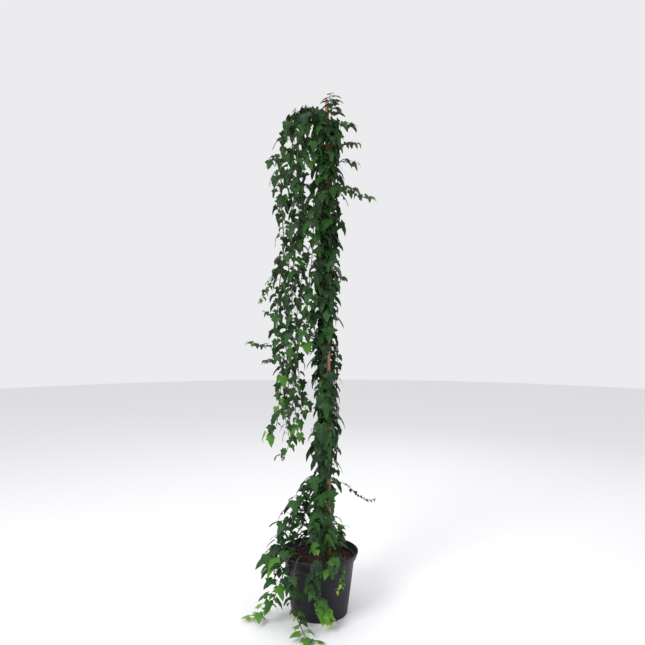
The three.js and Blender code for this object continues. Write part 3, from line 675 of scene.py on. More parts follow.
def cane_finish(settings):
    """Dried bamboo: tan, streaked along the grain, dark in the scar at each joint."""
    material, nodes = new_material("dried_bamboo")
    place = nodes.place()
    streaks = nodes.noise(nodes.stretched(place, (420, 420, 7)), 1, 4, 0.6)
    blotches = nodes.noise(nodes.stretched(place, (50, 50, 12)), 1, 3)
    fine = nodes.noise(nodes.stretched(place, (1500, 1500, 30)), 1, 2)
    joint = nodes.attribute("joint")
    base = nodes.mix(nodes.ramp(streaks, 0.35, 0.68), rgba(settings.dark_colour), rgba(settings.colour))
    mottled = nodes.mix(nodes.ramp(blotches, 0.55, 0.75, 0.0, 0.5), base, rgba(settings.pale_colour))
    colour = nodes.mix(nodes.math("MULTIPLY", joint, 0.85), mottled, rgba(settings.scar_colour))
    relief = nodes.math("ADD", streaks, nodes.math("MULTIPLY", fine, 0.5))
    nodes.surface(colour, nodes.ramp(blotches, 0.3, 0.7, 0.36, 0.6), relief, 0.0004)
    return material


def twine_finish(settings):
    """Spun plant fibre."""
    material, nodes = new_material("spun_fibre")
    place = nodes.place()
    fibres = nodes.noise(nodes.stretched(place, (900, 900, 2600)), 1, 4, 0.7)
    colour = nodes.mix(nodes.ramp(fibres, 0.35, 0.7), rgba(settings.dark_colour), rgba(settings.colour))
    nodes.surface(colour, nodes.ramp(fibres, 0.3, 0.7, 0.75, 0.95), fibres, 0.0004)
    return material


def bark_finish(settings):
    """Stems: grey-brown and furrowed where old, purple-green and smooth where young."""
    material, nodes = new_material("ivy_bark")
    place = nodes.place()
    age = nodes.attribute("age")
    furrows = nodes.noise(nodes.stretched(place, (700, 700, 60)), 1, 4, 0.65)
    patches = nodes.noise(place, 45, 3)
    old = nodes.mix(nodes.ramp(furrows, 0.35, 0.7), rgba(settings.furrow_colour), rgba(settings.bark_colour))
    middle = nodes.mix(nodes.ramp(patches, 0.4, 0.65), rgba(settings.red_colour), rgba(settings.green_colour))
    grown = nodes.mix(nodes.ramp(age, 0.2, 0.55), old, middle)
    colour = nodes.mix(nodes.ramp(age, 0.75, 1.0), grown, rgba(settings.tip_colour))
    relief = nodes.math("MULTIPLY", furrows, nodes.ramp(age, 0.1, 0.8, 1.0, 0.15))
    nodes.surface(colour, nodes.ramp(age, 0.1, 0.9, 0.8, 0.5), relief, 0.0005)
    return material


def vein_masks(nodes, across, along):
    """Where a blade's main veins and side veins run, from its own coordinates."""
    from_base = nodes.math("SUBTRACT", along, BLADE_INSIDE["petiole"][1])
    mains, nearest, ahead_of_nearest = 0.0, None, None
    for angle in VEIN_ANGLES:
        sine, cosine = math.sin(math.radians(angle)), math.cos(math.radians(angle))
        flat, rise = nodes.math("MULTIPLY", across, cosine), nodes.math("MULTIPLY", from_base, sine)
        aside = nodes.math("ABSOLUTE", nodes.math("SUBTRACT", flat, rise))
        flat, rise = nodes.math("MULTIPLY", across, sine), nodes.math("MULTIPLY", from_base, cosine)
        ahead = nodes.math("ADD", flat, rise)
        width = nodes.ramp(ahead, 0.0, 0.9, 0.017, 0.004)
        line = nodes.math("SUBTRACT", 1.0, nodes.math("DIVIDE", aside, width), clamped=True)
        line = nodes.math("MULTIPLY", line, nodes.math("GREATER_THAN", ahead, 0.0))
        mains = nodes.math("MAXIMUM", mains, line)
        if nearest is None:
            nearest, ahead_of_nearest = aside, ahead
        else:
            closer = nodes.math("LESS_THAN", aside, nearest)
            ahead_of_nearest = nodes.choose(closer, ahead_of_nearest, ahead)
            nearest = nodes.math("MINIMUM", aside, nearest)
    slanted = nodes.math("SUBTRACT", ahead_of_nearest, nodes.math("MULTIPLY", nearest, 0.85))
    beat = nodes.math("PINGPONG", nodes.math("MULTIPLY", slanted, 8.5), 0.5)
    sides = nodes.ramp(beat, 0.0, 0.12, 1.0, 0.0)
    return mains, nodes.math("MULTIPLY", sides, nodes.ramp(nearest, 0.0, 0.2, 1.0, 0.3))


def leaf_finish(settings):
    """Ivy blades: dark green to yellow-green by age and by leaf, with pale veins and a dull underside."""
    material, nodes = new_material("ivy_leaf")
    place = nodes.place()
    blade = nodes.split(nodes.add("ShaderNodeUVMap", uv_map="blade").outputs[0])
    across, along = nodes.math("ABSOLUTE", blade[0]), blade[1]
    mains, sides = vein_masks(nodes, across, along)
    tone, age, under = nodes.attribute("tone"), nodes.attribute("age"), nodes.attribute("underside")
    mottle = nodes.noise(place, 160, 4, 0.6)
    patches = nodes.noise(place, 14, 2)
    shift = nodes.math("ADD", tone, nodes.math("MULTIPLY", nodes.math("SUBTRACT", patches, 0.5), 0.8))
    base = nodes.mix(nodes.ramp(shift, 0.15, 0.9), rgba(settings.dark_colour), rgba(settings.green_colour))
    base = nodes.mix(nodes.ramp(age, 0.35, 0.75), base, rgba(settings.bright_colour))
    base = nodes.mix(nodes.ramp(age, 0.72, 1.0), base, rgba(settings.young_colour))
    mottling = nodes.ramp(mottle, 0.3, 0.75, 0.0, 0.45)
    base = nodes.mix(mottling, base, rgba(settings.mottle_colour), "SOFT_LIGHT")
    strong, faint = nodes.math("MULTIPLY", mains, 0.62), nodes.math("MULTIPLY", sides, 0.2)
    veins = nodes.math("ADD", strong, faint, clamped=True)
    pale = nodes.mix(0.4, base, rgba(settings.vein_colour))
    top = nodes.mix(veins, base, pale)
    below = nodes.mix(0.55, top, rgba(settings.under_colour))
    colour = nodes.mix(under, top, below)
    gloss = nodes.ramp(mottle, 0.3, 0.75, settings.roughness, settings.roughness + 0.14)
    roughness = nodes.choose(under, gloss, 0.7)
    sunk = nodes.math("ADD", nodes.math("MULTIPLY", mains, -1.0), nodes.math("MULTIPLY", sides, -0.45))
    relief = nodes.math("ADD", sunk, nodes.math("MULTIPLY", mottle, 0.5))
    nodes.surface(colour, roughness, relief, 0.0004, settings.gloss)
    return material


# ---- Stems ----


class Stem:
    """A stem's centreline in millimetres, with the sections and leaf places of the solid model."""

    def __init__(self, name, index, points, radius, leaves, parent=None, height=None):
        self.name, self.index, self.points, self.radius, self.leaves = name, index, points, radius, leaves
        self.parent, self.height = parent, height
        self.climbs, self.hangs = name.startswith("climbing"), name.startswith("hanging")
        self.knots = [0.0]
        for span, (near, far) in enumerate(zip(points, points[1:])):
            parts = math.ceil((far - near).length / STEM_STEP)
            self.knots += [span + part / parts for part in range(1, parts + 1)]
        self.places = [self.curve(knot) for knot in self.knots]
        self.distances = [0.0]
        for near, far in zip(self.places, self.places[1:]):
            self.distances.append(self.distances[-1] + (far - near).length)
        self.length = self.distances[-1]

    def curve(self, knot):
        """A point of the smooth curve through the route."""
        points = self.points
        span = min(int(knot), len(points) - 2)
        share = knot - span
        near, far = points[span], points[span + 1]
        before = points[span - 1] if span else near * 2 - far
        after = points[span + 2] if span + 2 < len(points) else far * 2 - near
        leave, arrive = (far - before) / 2, (after - near) / 2
        square, cube = share**2, share**3
        ends = near * (2 * cube - 3 * square + 1) + far * (3 * square - 2 * cube)
        return ends + leave * (cube - 2 * square + share) + arrive * (cube - square)

    def section(self, distance):
        i = min(max(1, bisect.bisect_left(self.distances, distance)), len(self.places) - 1)
        near, far = self.distances[i - 1], self.distances[i]
        return i, (distance - near) / (far - near)

    def at(self, distance):
        """The place at a distance along the straight sections."""
        i, share = self.section(distance)
        return self.places[i - 1].lerp(self.places[i], share)

    def smooth(self, distance):
        """The place at a distance along the smooth curve, which wavers a little as a stem does."""
        i, share = self.section(distance)
        place = self.curve(lerp(self.knots[i - 1], self.knots[i], share))
        return place + noise.noise_vector(place / 38) * 0.9

    def distance_at_height(self, z):
        """How far along the stem a height is, looked for from the tip back."""
        for i in range(len(self.places) - 1, 0, -1):
            low, high = self.places[i - 1].z, self.places[i].z
            if (low - z) * (high - z) <= 0:
                return lerp(self.distances[i - 1], self.distances[i], (z - low) / (high - low))
        return self.length

    def thickness(self, distance):
        return lerp(*self.radius, clamp(distance / self.length))


def climber_points(azimuths, bow):
    """The route of a climbing stem, held in at each tie and bowed out between them."""
    heights = [SOIL_TOP - ROOT_DEPTH]
    heights += [lerp(SOIL_TOP, CANE_HEAD.z, share) for share in TIE_SHARES]
    heights.append(CANE_HEAD.z - END_BELOW_CANE)
    points = []
    for i, z in enumerate(heights):
        if i:
            middle = (heights[i - 1] + z) / 2
            azimuth = (azimuths[i - 1] + azimuths[i]) / 2
            points.append(polar(cane_axis(middle), CLIMBER_RING + bow, azimuth, middle))
        tied = 0 < i < len(heights) - 1
        points.append(polar(cane_axis(z), CLIMBER_RING + (0 if tied else END_EASE), azimuths[i], z))
    return points


def grow_stems(climber_leaves):
    stems = []
    for i, climber in enumerate(CLIMBERS):
        points = climber_points(climber["azimuths"], climber["bow"])
        leaves = {**climber_leaves, **climber["leaves"]}
        stems.append(Stem(f"climbing_stem_{i + 1}", i, points, CLIMBER_RADIUS, leaves))

    def add(entry, points, parent=None, height=None):
        name, radius, leaves = entry["name"], entry["radius"], entry["leaves"]
        stems.append(Stem(name, len(stems), points, radius, leaves, parent, height))

    for shoots, level in ((CROWN_SHOOTS, CANE_HEAD.z), (FOOT_SHOOTS, SOIL_TOP)):
        for entry in shoots:
            points = [Vector((x, y, z + level)) for x, y, z in entry["route"]]
            parent, height = None, None
            if entry["start"] is not IN_SOIL:
                name, rise = entry["start"]
                parent, height = next(stem for stem in stems if stem.name == name), rise + level
                start = parent.at(parent.distance_at_height(height))
                gap = parent.radius[0] + entry["radius"][0] + CLEARANCE
                points.insert(0, start + (points[0] - start).normalized() * gap)
            add(entry, points, parent, height)
    for entry in TRAILING_SHOOTS:
        azimuth, share = entry["start"]
        points = [polar((0, 0), share * BODY_TOP_RADIUS, azimuth, SOIL_TOP - ROOT_DEPTH)]
        for azimuth, out, share in entry["route"]:
            points.append(polar((0, 0), RIM_RADIUS + out, azimuth, share * POT_HEIGHT))
        add(entry, points)
    return stems


# ---- Leaves ----


def scatter(stem, leaf, use):
    """A repeatable value from 0 to 1 for one leaf of one stem."""
    return fraction(math.sin(stem * 127.1 + leaf * 311.7 + use * 74.7) * 43758.5453)


class Pose:
    """How a leaf stands at one try: its petiole's ends, and its blade's axes and length in millimetres."""

    def __init__(self, stem, count, attempt, size_share=1.0):
        leaves = stem.leaves
        distance = leaves["first"] + count * leaves["spacing"]

        def vary(use, low, high):
            return lerp(low, high, scatter(stem.index, count, use))

        def about(use, reach):
            return vary(use, -reach, reach)

        size = leaves["size"] * lerp(1, leaves["tip"], distance / stem.length)
        self.length = size * (1 + about(0, SIZE_SPREAD)) * size_share
        self.distance, self.start = distance, stem.at(distance)
        outward = self.start - cane_axis(self.start.z)
        towards = leaves["towards"]
        facing = math.atan2(outward.y, outward.x) if towards is None else math.radians(towards)
        turn = 2 * fraction(count * GOLDEN_SHARE + stem.index * 0.37) - 1
        azimuth = facing + math.radians(turn * leaves["spread"] + attempt * TRY_TURN)
        out = Vector((math.cos(azimuth), math.sin(azimuth), 0))
        lift = math.radians(PETIOLE_LIFT)
        self.petiole = self.length * vary(1, *PETIOLE_SHARES) * (0.7 if attempt % 2 else 1)
        self.base = self.start + out * self.petiole * math.cos(lift) + UP * self.petiole * math.sin(lift)
        ease = min(1, self.base.z / (FLOOR_EASE * self.length))
        out = Matrix.Rotation(math.radians(about(2, TURN_SPREAD)), 3, "Z") @ out
        dip = math.radians(leaves["droop"] + about(3, DIP_SPREAD)) * ease
        roll = math.radians(about(4, ROLL_SPREAD)) * ease
        self.along = out * math.cos(dip) - UP * math.sin(dip)
        self.across = Matrix.Rotation(roll, 3, self.along) @ out.cross(UP)
        self.face = self.across.cross(self.along)

    def point(self, across, along, up=0.0):
        """A point given in shares of the blade's length."""
        return self.base + (self.across * across + self.along * along + self.face * up) * self.length


def solid_tips(node):
    """The corners of a CAD node, to look a leaf's tip up in."""
    vertices = frame["nodes"][node].data.vertices
    tree = KDTree(len(vertices))
    for i, vertex in enumerate(vertices):
        tree.insert(vertex.co, i)
    tree.balance()
    return tree


def solid_pose(stem, count, corners):
    """The pose that the solid model gave a leaf, or None where it has none."""
    for attempt in range(TRIES):
        pose = Pose(stem, count, attempt)
        if corners.find(pose.point(0, 1, -TIP_DROP) * MM)[2] < CLEARANCE * MM:
            return pose
    return None


class Crowd:
    """Where blades are, so that another can look for room among them."""

    CELL = 60
    FAR = 2.0
    LEAST = 0.42  # room without which an extra leaf is left out

    def __init__(self):
        self.cells = {}

    def key(self, place):
        return tuple(int(c // self.CELL) for c in place)

    def add(self, pose):
        centre = pose.point(0, BLADE_MIDDLE)
        self.cells.setdefault(self.key(centre), []).append((centre, pose.length))

    def room(self, pose):
        """How far the nearest blade is, as a share of the two blades' mean length."""
        centre = pose.point(0, BLADE_MIDDLE)
        x, y, z = self.key(centre)
        free = self.FAR
        for i in (x - 1, x, x + 1):
            for j in (y - 1, y, y + 1):
                for k in (z - 1, z, z + 1):
                    for other, length in self.cells.get((i, j, k), ()):
                        free = min(free, (other - centre).length * 2 / (length + pose.length))
        return free


def clear_of_holder(pose):
    """Whether a blade keeps off the cane, the pot, the soil and the floor, and inside the plant's own box."""
    low, high = CAD_BOX[0] / MM, CAD_BOX[1] / MM
    for across, along in ((0, 0), (0, BLADE_MIDDLE), (0, 1), (0.5, 0.2), (-0.5, 0.2)):
        point = pose.point(across, along)
        axis = cane_axis(point.z)
        radius = math.hypot(point.x, point.y)
        over_soil = point.z > SOIL_TOP + ROOM["soil"] and radius < BODY_TOP_RADIUS - ROOM["pot"]
        meets = (
            point.z < CANE_HEAD.z and math.dist(point.xy, axis.xy) < CANE_RADIUS[0] + ROOM["cane"],
            point.z < POT_HEIGHT + ROOM["above rim"] and abs(radius - RIM_RADIUS + RIM_INSET) < ROOM["rim"],
            point.z < POT_HEIGHT and radius < pot_radius(point.z) + ROOM["pot"] and not over_soil,
            point.z < ROOM["floor"],
            any(not low[i] < point[i] < high[i] for i in range(3)),
        )
        if any(meets):
            return False
    return True


def hides_cane(pose):
    """Whether a blade hangs before the cane or right of it where the cane shows between the leaves."""
    middle = pose.point(0, 0.4)
    (left, right), back = CANE_SHOWS_ACROSS, CANE_SHOWS_BACK
    shows = any(low < middle.z < high for low, high in CANE_SHOWS)
    return shows and left < middle.x - CANE_FOOT.x < right and middle.y - CANE_FOOT.y < back


def inner_pose(stem, count, crowd, size_share):
    """The roomiest way for an extra leaf to stand, or None where it would crowd the others."""
    best, most = None, crowd.LEAST
    for attempt in range(TRIES):
        pose = Pose(stem, count, attempt, size_share)
        free = crowd.room(pose)
        if free > most and clear_of_holder(pose) and not hides_cane(pose):
            best, most = pose, free
    return best


def blade_height(across, along, twist):
    """How far a blade stands above its plane: it droops at its lobes and folds up a little by the midrib."""
    side = abs(across)
    droop = 0.10 * (side / 0.54) ** 1.7 + 0.20 * (max(0, along - 0.3) / 0.7) ** 1.7
    heel = 0.05 * (max(0, 0.15 - along) / 0.3) ** 1.5
    fold = 0.028 * math.sin(math.pi * min(side / 0.34, 1))
    return 0.03 - droop - heel + fold + twist * across * along


def blade_mesh(kind):
    """One thin closed blade a unit long, its two faces meeting at its rim."""
    breadth, bay, lobe, twist = BLADE_KINDS[kind]
    vertices, coordinates, index = [], [], {}

    def outline(name, x, y):
        if "bay" in name or name == "waist":
            x, y = x * bay, lerp(0.25, y, lerp(1, bay, 0.5))
        if name in ("side_lobe", "side_edge", "side_back"):
            x, y = x * lobe, lerp(0.25, y, lobe)
        return x * breadth, y

    for side, lift in (("rim", 0), ("top", BLADE_HALF_THICK), ("below", -BLADE_HALF_THICK)):
        points = BLADE_RIM if side == "rim" else BLADE_INSIDE
        for name, (x, y) in points.items():
            x, y = outline(name, x, y)
            for hand in (1, -1) if x else (1,):
                index[side, name, hand] = len(vertices)
                if not x:
                    index[side, name, -1] = len(vertices)
                vertices.append((x * hand, y, blade_height(x * hand, y, twist) + lift))
                coordinates.append((x * hand, y))
    faces, under = [], []
    for side in ("top", "below"):
        for names in BLADE_FACES:
            for hand in (1, -1):
                corners = [index["rim" if name in BLADE_RIM else side, name, hand] for name in names]
                flip = (hand == -1) != (side == "below")
                faces.append(corners[::-1] if flip else corners)
                under.append(float(side == "below"))
    mesh = bpy.data.meshes.new(f"blade_{kind}")
    mesh.from_pydata(vertices, [], faces)
    layer = mesh.uv_layers.new(name="blade")
    for loop in mesh.loops:
        layer.data[loop.index].uv = coordinates[loop.vertex_index]
    mesh.attributes.new("underside", "FLOAT", "FACE").data.foreach_set("value", under)
    rim = len(BLADE_RIM) * 2 - 2
    for edge in mesh.edges:
        edge.use_edge_sharp = max(edge.vertices) < rim
    mesh.polygons.foreach_set("use_smooth", [True] * len(faces))
    return mesh


def blade_collection():
    """One blade of each kind, to be copied along the stems."""
    kinds = bpy.data.collections.new("blades")
    for kind in range(len(BLADE_KINDS)):
        kinds.objects.link(bpy.data.objects.new(f"blade_{kind}", blade_mesh(kind)))
    return kinds


def vine_tree():
    """Tubes along a mesh's edges, as stems and petioles, and rippled blades on another mesh's points."""
    tree, nodes, given = geometry_tree(
        "vine",
        [
            ("Sides", "NodeSocketInt"), ("Leaf Places", "NodeSocketObject"),
            ("Blades", "NodeSocketCollection"), ("Ripple", "NodeSocketFloat"),
            ("Bark", "NodeSocketMaterial"), ("Leaf", "NodeSocketMaterial"),
        ],
    )
    stems = painted(nodes, tubes(nodes, given["Geometry"], given["Sides"]), given["Bark"])
    places = nodes.add("GeometryNodeObjectInfo", {"Object": given["Leaf Places"]}).outputs["Geometry"]
    inputs = {"Collection": given["Blades"], "Separate Children": True, "Reset Children": True}
    kinds = nodes.add("GeometryNodeCollectionInfo", inputs).outputs[0]

    def named(name, kind):
        return nodes.add("GeometryNodeInputNamedAttribute", {"Name": name}, data_type=kind).outputs[0]

    inputs = {
        "Points": places, "Instance": kinds, "Pick Instance": True, "Instance Index": named("kind", "INT"),
        "Rotation": named("turn", "QUATERNION"), "Scale": named("length", "FLOAT"),
    }
    blades = nodes.add("GeometryNodeInstanceOnPoints", inputs).outputs[0]
    blades = nodes.add("GeometryNodeRealizeInstances", {"Geometry": blades}).outputs[0]
    waves = nodes.add("ShaderNodeTexNoise", {"Scale": 42.0, "Detail": 1.0}).outputs["Color"]
    inputs = {0: waves, 1: (0.5, 0.5, 0.5)}
    centred = nodes.add("ShaderNodeVectorMath", inputs, operation="SUBTRACT").outputs[0]
    inputs = {0: centred, "Scale": given["Ripple"]}
    offset = nodes.add("ShaderNodeVectorMath", inputs, operation="SCALE").outputs[0]
    blades = nodes.add("GeometryNodeSetPosition", {"Geometry": blades, "Offset": offset}).outputs[0]
    blades = nodes.add("GeometryNodeSetMaterial", {"Geometry": blades, "Material": given["Leaf"]}).outputs[0]
    both = nodes.add("GeometryNodeJoinGeometry")
    tree.links.new(blades, both.inputs[0])
    tree.links.new(stems, both.inputs[0])
    nodes.add("NodeGroupOutput", {"Geometry": both.outputs[0]})
    return tree


# How much each thing counts towards a leaf's youth, and how much of it leaves a leaf old.
AGE = {"climbing tip": 0.15, "free tip": 0.5, "low": 0.42, "chance": 0.34, "small": 0.24, "least": 0.04}


def leaf_age(stem, pose, count):
    """0 for an old dark leaf to 1 for one just opened: young where small, near free tips and low down."""
    share = pose.distance / stem.length
    free_tip = AGE["climbing tip"] if stem.climbs else AGE["free tip"]
    low = clamp(1 - pose.base.z / 340)
    small = clamp(1.3 - pose.length / 26)
    chance = scatter(stem.index, count, 6)
    young = free_tip * share**3 + AGE["low"] * low + AGE["chance"] * chance**2 + AGE["small"] * small
    return clamp(young - AGE["least"])


def add_petiole(lines, stem, pose, age):
    start, end = stem.smooth(pose.distance), pose.point(0, 0.05)
    bend = start.lerp(end, 0.5) + UP * pose.petiole * 0.14
    shares = [i / 4 for i in range(5)]
    points = [start.lerp(bend, s).lerp(bend.lerp(end, s), s) for s in shares]
    thick = clamp(pose.length / 50, 0.45, 1.1)
    lines.add(points, [lerp(0.95, 0.6, s) * thick for s in shares], [clamp(0.45 + 0.5 * age)] * 5)


def add_stem_line(lines, stem, distances, step):
    """The stem itself, swollen a little at each leaf, starting inside the stem that it leaves."""
    points, thick, ages = [], [], []
    if stem.parent:
        points.append(stem.parent.smooth(stem.parent.distance_at_height(stem.height)))
        thick.append(stem.radius[0])
        ages.append(0.3)
    count = math.ceil(stem.length / step)
    for i in range(count + 1):
        distance = stem.length * i / count
        at = bisect.bisect_left(distances, distance)
        near = min((abs(d - distance) for d in distances[max(0, at - 1): at + 1]), default=step * 2)
        swell = 1 + 0.22 * max(0, 1 - near / 7)
        points.append(stem.smooth(distance))
        thick.append(stem.thickness(distance) * swell)
        share = distance / stem.length
        ages.append(0.35 * share if stem.climbs else clamp(0.22 + 0.78 * share**1.5))
    lines.add(points, thick, ages)


def add_rootlets(lines, stem):
    """Short clinging roots on the side of a climbing stem that faces the cane."""
    distance, i = 120.0, 0
    while distance < stem.length - 30:
        start = stem.smooth(distance)
        inward = cane_axis(start.z) - start
        inward.z = 0
        inward.normalize()
        aside = UP.cross(inward) * (scatter(stem.index, i, 8) - 0.5) * 1.6
        reach = lerp(3.5, 6.5, scatter(stem.index, i, 9))
        tip = start + (inward + aside + UP * (scatter(stem.index, i, 10) - 0.5)) * reach
        lines.add([start, start.lerp(tip, 0.5) + UP * 0.4, tip], [0.4, 0.3, 0.14], [0.1] * 3)
        distance += lerp(7, 19, scatter(stem.index, i, 11))
        i += 1


def leaf_places(name, leaves):
    """The blades' places, turns, lengths, kinds, tones and ages, as points for the tree."""
    poses, kinds, tones, ages = zip(*leaves)
    made = add_mesh(name, [pose.base for pose in poses])
    axes = [Matrix((pose.across, pose.along, pose.face)).transposed() for pose in poses]
    turns = [value for matrix in axes for value in matrix.to_quaternion()]
    set_attribute(made.data, "turn", "QUATERNION", turns)
    set_attribute(made.data, "length", "FLOAT", [pose.length * MM for pose in poses])
    set_attribute(made.data, "kind", "INT", kinds)
    set_attribute(made.data, "tone", "FLOAT", tones)
    set_attribute(made.data, "age", "FLOAT", ages)
    return made


def outer_leaves(stem, crowd):
    """The leaves that the solid model has on a stem, with their counts along it."""
    corners = solid_tips(stem.name)
    last = (stem.length - 2 - stem.leaves["first"]) / stem.leaves["spacing"]
    for count in range(max(0, math.ceil(last))):
        pose = solid_pose(stem, count, corners)
        if pose:
            crowd.add(pose)
            yield count, pose


def inner_leaves(stem, crowd, settings):
    """Smaller leaves between those. On a hanging shoot they start nearer its root."""
    first, spacing, size = (stem.leaves[trait] for trait in ("first", "spacing", "size"))
    step = 1 / (settings.inner_leaves + (0 if stem.hangs else 1))
    count = -math.floor((first + size - 25) / spacing / step) * step if stem.hangs else step
    while first + count * spacing < stem.length - 4:
        between = count < 0 or abs(count - round(count)) > 1e-6
        if between and first + count * spacing > 12:
            share = lerp(*settings.inner_size, scatter(stem.index, count, 12))
            pose = inner_pose(stem, count, crowd, share)
            if pose:
                crowd.add(pose)
                yield count, pose
        count += step


def tip_leaves(stem, settings):
    """Young leaves that have just opened at a free tip."""
    for bud in range(0 if stem.climbs else settings.tip_leaves):
        count = (stem.length - 3 - 7 * bud - stem.leaves["first"]) / stem.leaves["spacing"]
        share = lerp(0.26, 0.44, bud / max(1, settings.tip_leaves - 1))
        pose = Pose(stem, count, 2 * bud, share)
        if clear_of_holder(pose):
            yield count, pose


def plan_leaves(stems, settings):
    """The leaves of every stem: first those of the solid model, then the extra ones that find room."""
    crowd = Crowd()
    planned = {stem.name: list(outer_leaves(stem, crowd)) for stem in stems}
    for stem in stems:
        planned[stem.name] += inner_leaves(stem, crowd, settings)
        planned[stem.name] += tip_leaves(stem, settings)
    return planned


# ---- What a user may change ----


def length_prop(name, description, value):
    return FloatProperty(name=name, description=description, default=value, unit="LENGTH", subtype="DISTANCE")


def colour_prop(name, description, value):
    return FloatVectorProperty(
        name=name, description=description, default=value, subtype="COLOR", min=0, max=1, size=3
    )


def share_prop(name, description, value):
    return FloatProperty(name=name, description=description, default=value, subtype="FACTOR", min=0, max=1)


def count_prop(name, description, value, least=0):
    return IntProperty(name=name, description=description, default=value, min=least)


def amount_prop(name, description, value):
    return FloatProperty(name=name, description=description, default=value, min=0)


class PotSettings(bpy.types.PropertyGroup):
    colour: colour_prop("Plastic", "Colour of the pot", (0.006, 0.006, 0.012))
    dust_colour: colour_prop("Dust", "Colour of dried splashes on the pot", (0.030, 0.028, 0.030))
    worn_colour: colour_prop("Scuffs", "Colour of the scuffed rim and foot", (0.09, 0.09, 0.1))
    gloss: share_prop("Gloss", "How strongly the plastic reflects", 0.3)
    wear: share_prop("Wear", "How scuffed the rim and the foot are", 0.4)
    sides: count_prop("Sides", "Faces round the pot", 144, 24)


class SoilSettings(bpy.types.PropertyGroup):
    wet_colour: colour_prop("Wet peat", "Colour of the soil in its hollows", (0.012, 0.005, 0.003))
    dry_colour: colour_prop("Dry peat", "Colour of the soil on its crumbs", (0.060, 0.024, 0.014))
    fibre_colour: colour_prop("Fibre", "Colour of the fibres in the soil", (0.17, 0.085, 0.045))
    crumb_size: length_prop("Crumb size", "Radius of the largest crumbs", 0.0034)
    crumb_density: amount_prop("Crumbs", "Crumbs per square metre", 52000)


class CaneSettings(bpy.types.PropertyGroup):
    colour: colour_prop("Cane", "Main colour of the bamboo", (0.50, 0.235, 0.095))
    dark_colour: colour_prop("Streaks", "Colour of the darker grain", (0.27, 0.115, 0.045))
    pale_colour: colour_prop("Pale patches", "Colour of the paler patches", (0.60, 0.38, 0.20))
    scar_colour: colour_prop("Joints", "Colour of the scar at each joint", (0.13, 0.065, 0.03))
    sides: count_prop("Sides", "Faces round the cane", 28, 8)


class TieSettings(bpy.types.PropertyGroup):
    colour: colour_prop("Twine", "Colour of the twine", (0.36, 0.27, 0.16))
    dark_colour: colour_prop("Twine shade", "Colour between its fibres", (0.12, 0.085, 0.05))
    lay: length_prop("Lay", "Length of one turn of a strand", 0.0075)


class StemSettings(bpy.types.PropertyGroup):
    bark_colour: colour_prop("Bark", "Colour of old stems", (0.115, 0.075, 0.048))
    furrow_colour: colour_prop("Furrows", "Colour in the bark's furrows", (0.035, 0.023, 0.016))
    red_colour: colour_prop("Red stems", "Reddish patches of the younger stems", (0.075, 0.030, 0.026))
    green_colour: colour_prop("Green stems", "Green patches of the younger stems", (0.055, 0.070, 0.026))
    tip_colour: colour_prop("Tips", "Colour of the growing tips", (0.16, 0.21, 0.06))
    sides: count_prop("Sides", "Faces round a stem", 8, 4)
    step: length_prop("Step", "Distance between the sections of a stem", 0.009)


class LeafSettings(bpy.types.PropertyGroup):
    dark_colour: colour_prop("Dark", "Colour of the oldest leaves", (0.004, 0.022, 0.006))
    green_colour: colour_prop("Green", "Colour of full-grown leaves", (0.014, 0.072, 0.010))
    bright_colour: colour_prop("Bright", "Colour of younger leaves", (0.075, 0.24, 0.015))
    young_colour: colour_prop("Young", "Colour of leaves that have just opened", (0.30, 0.47, 0.05))
    mottle_colour: colour_prop("Mottle", "Colour of the fine dark mottling", (0.006, 0.02, 0.008))
    vein_colour: colour_prop("Veins", "Colour that the veins lean to", (0.20, 0.34, 0.10))
    under_colour: colour_prop("Underside", "Colour that the underside leans to", (0.06, 0.13, 0.035))
    roughness: share_prop("Roughness", "How dull the upper side is", 0.4)
    gloss: share_prop("Gloss", "How strongly both sides reflect", 0.22)
    ripple: length_prop("Ripple", "How far a blade's surface waves", 0.006)
    climber_size: length_prop("Climber leaves", "Length of the blades on the climbing stems", 0.058)
    inner_leaves: count_prop("Inner leaves", "Small leaves between two large ones", 3)
    inner_size: FloatVectorProperty(
        name="Inner size", description="Smallest and largest inner leaf, as shares of a large one",
        default=(0.6, 1.1), size=2, min=0.1, max=1.2,
    )
    tip_leaves: count_prop("Tip leaves", "Young leaves at each free tip", 3)


class StageSettings(bpy.types.PropertyGroup):
    floor_colour: colour_prop("Floor", "Colour of the floor", (0.84, 0.84, 0.85))
    speckle_colour: colour_prop("Speckles", "Colour of the floor's faint speckles", (0.79, 0.79, 0.80))
    sky_colour: colour_prop("Surroundings", "Colour of the light from all round", (0.95, 0.95, 0.97))
    sky_strength: amount_prop("Strength", "Strength of the light from all round", 0.88)
    floor_radius: length_prop("Floor radius", "Radius of the floor", 9.0)
    camera_distance: length_prop("Camera distance", "From the pot's centre to the camera", 2.227)
    camera_height: length_prop("Camera height", "Height of the camera, which looks level", 1.04)


# ---- Pieces ----


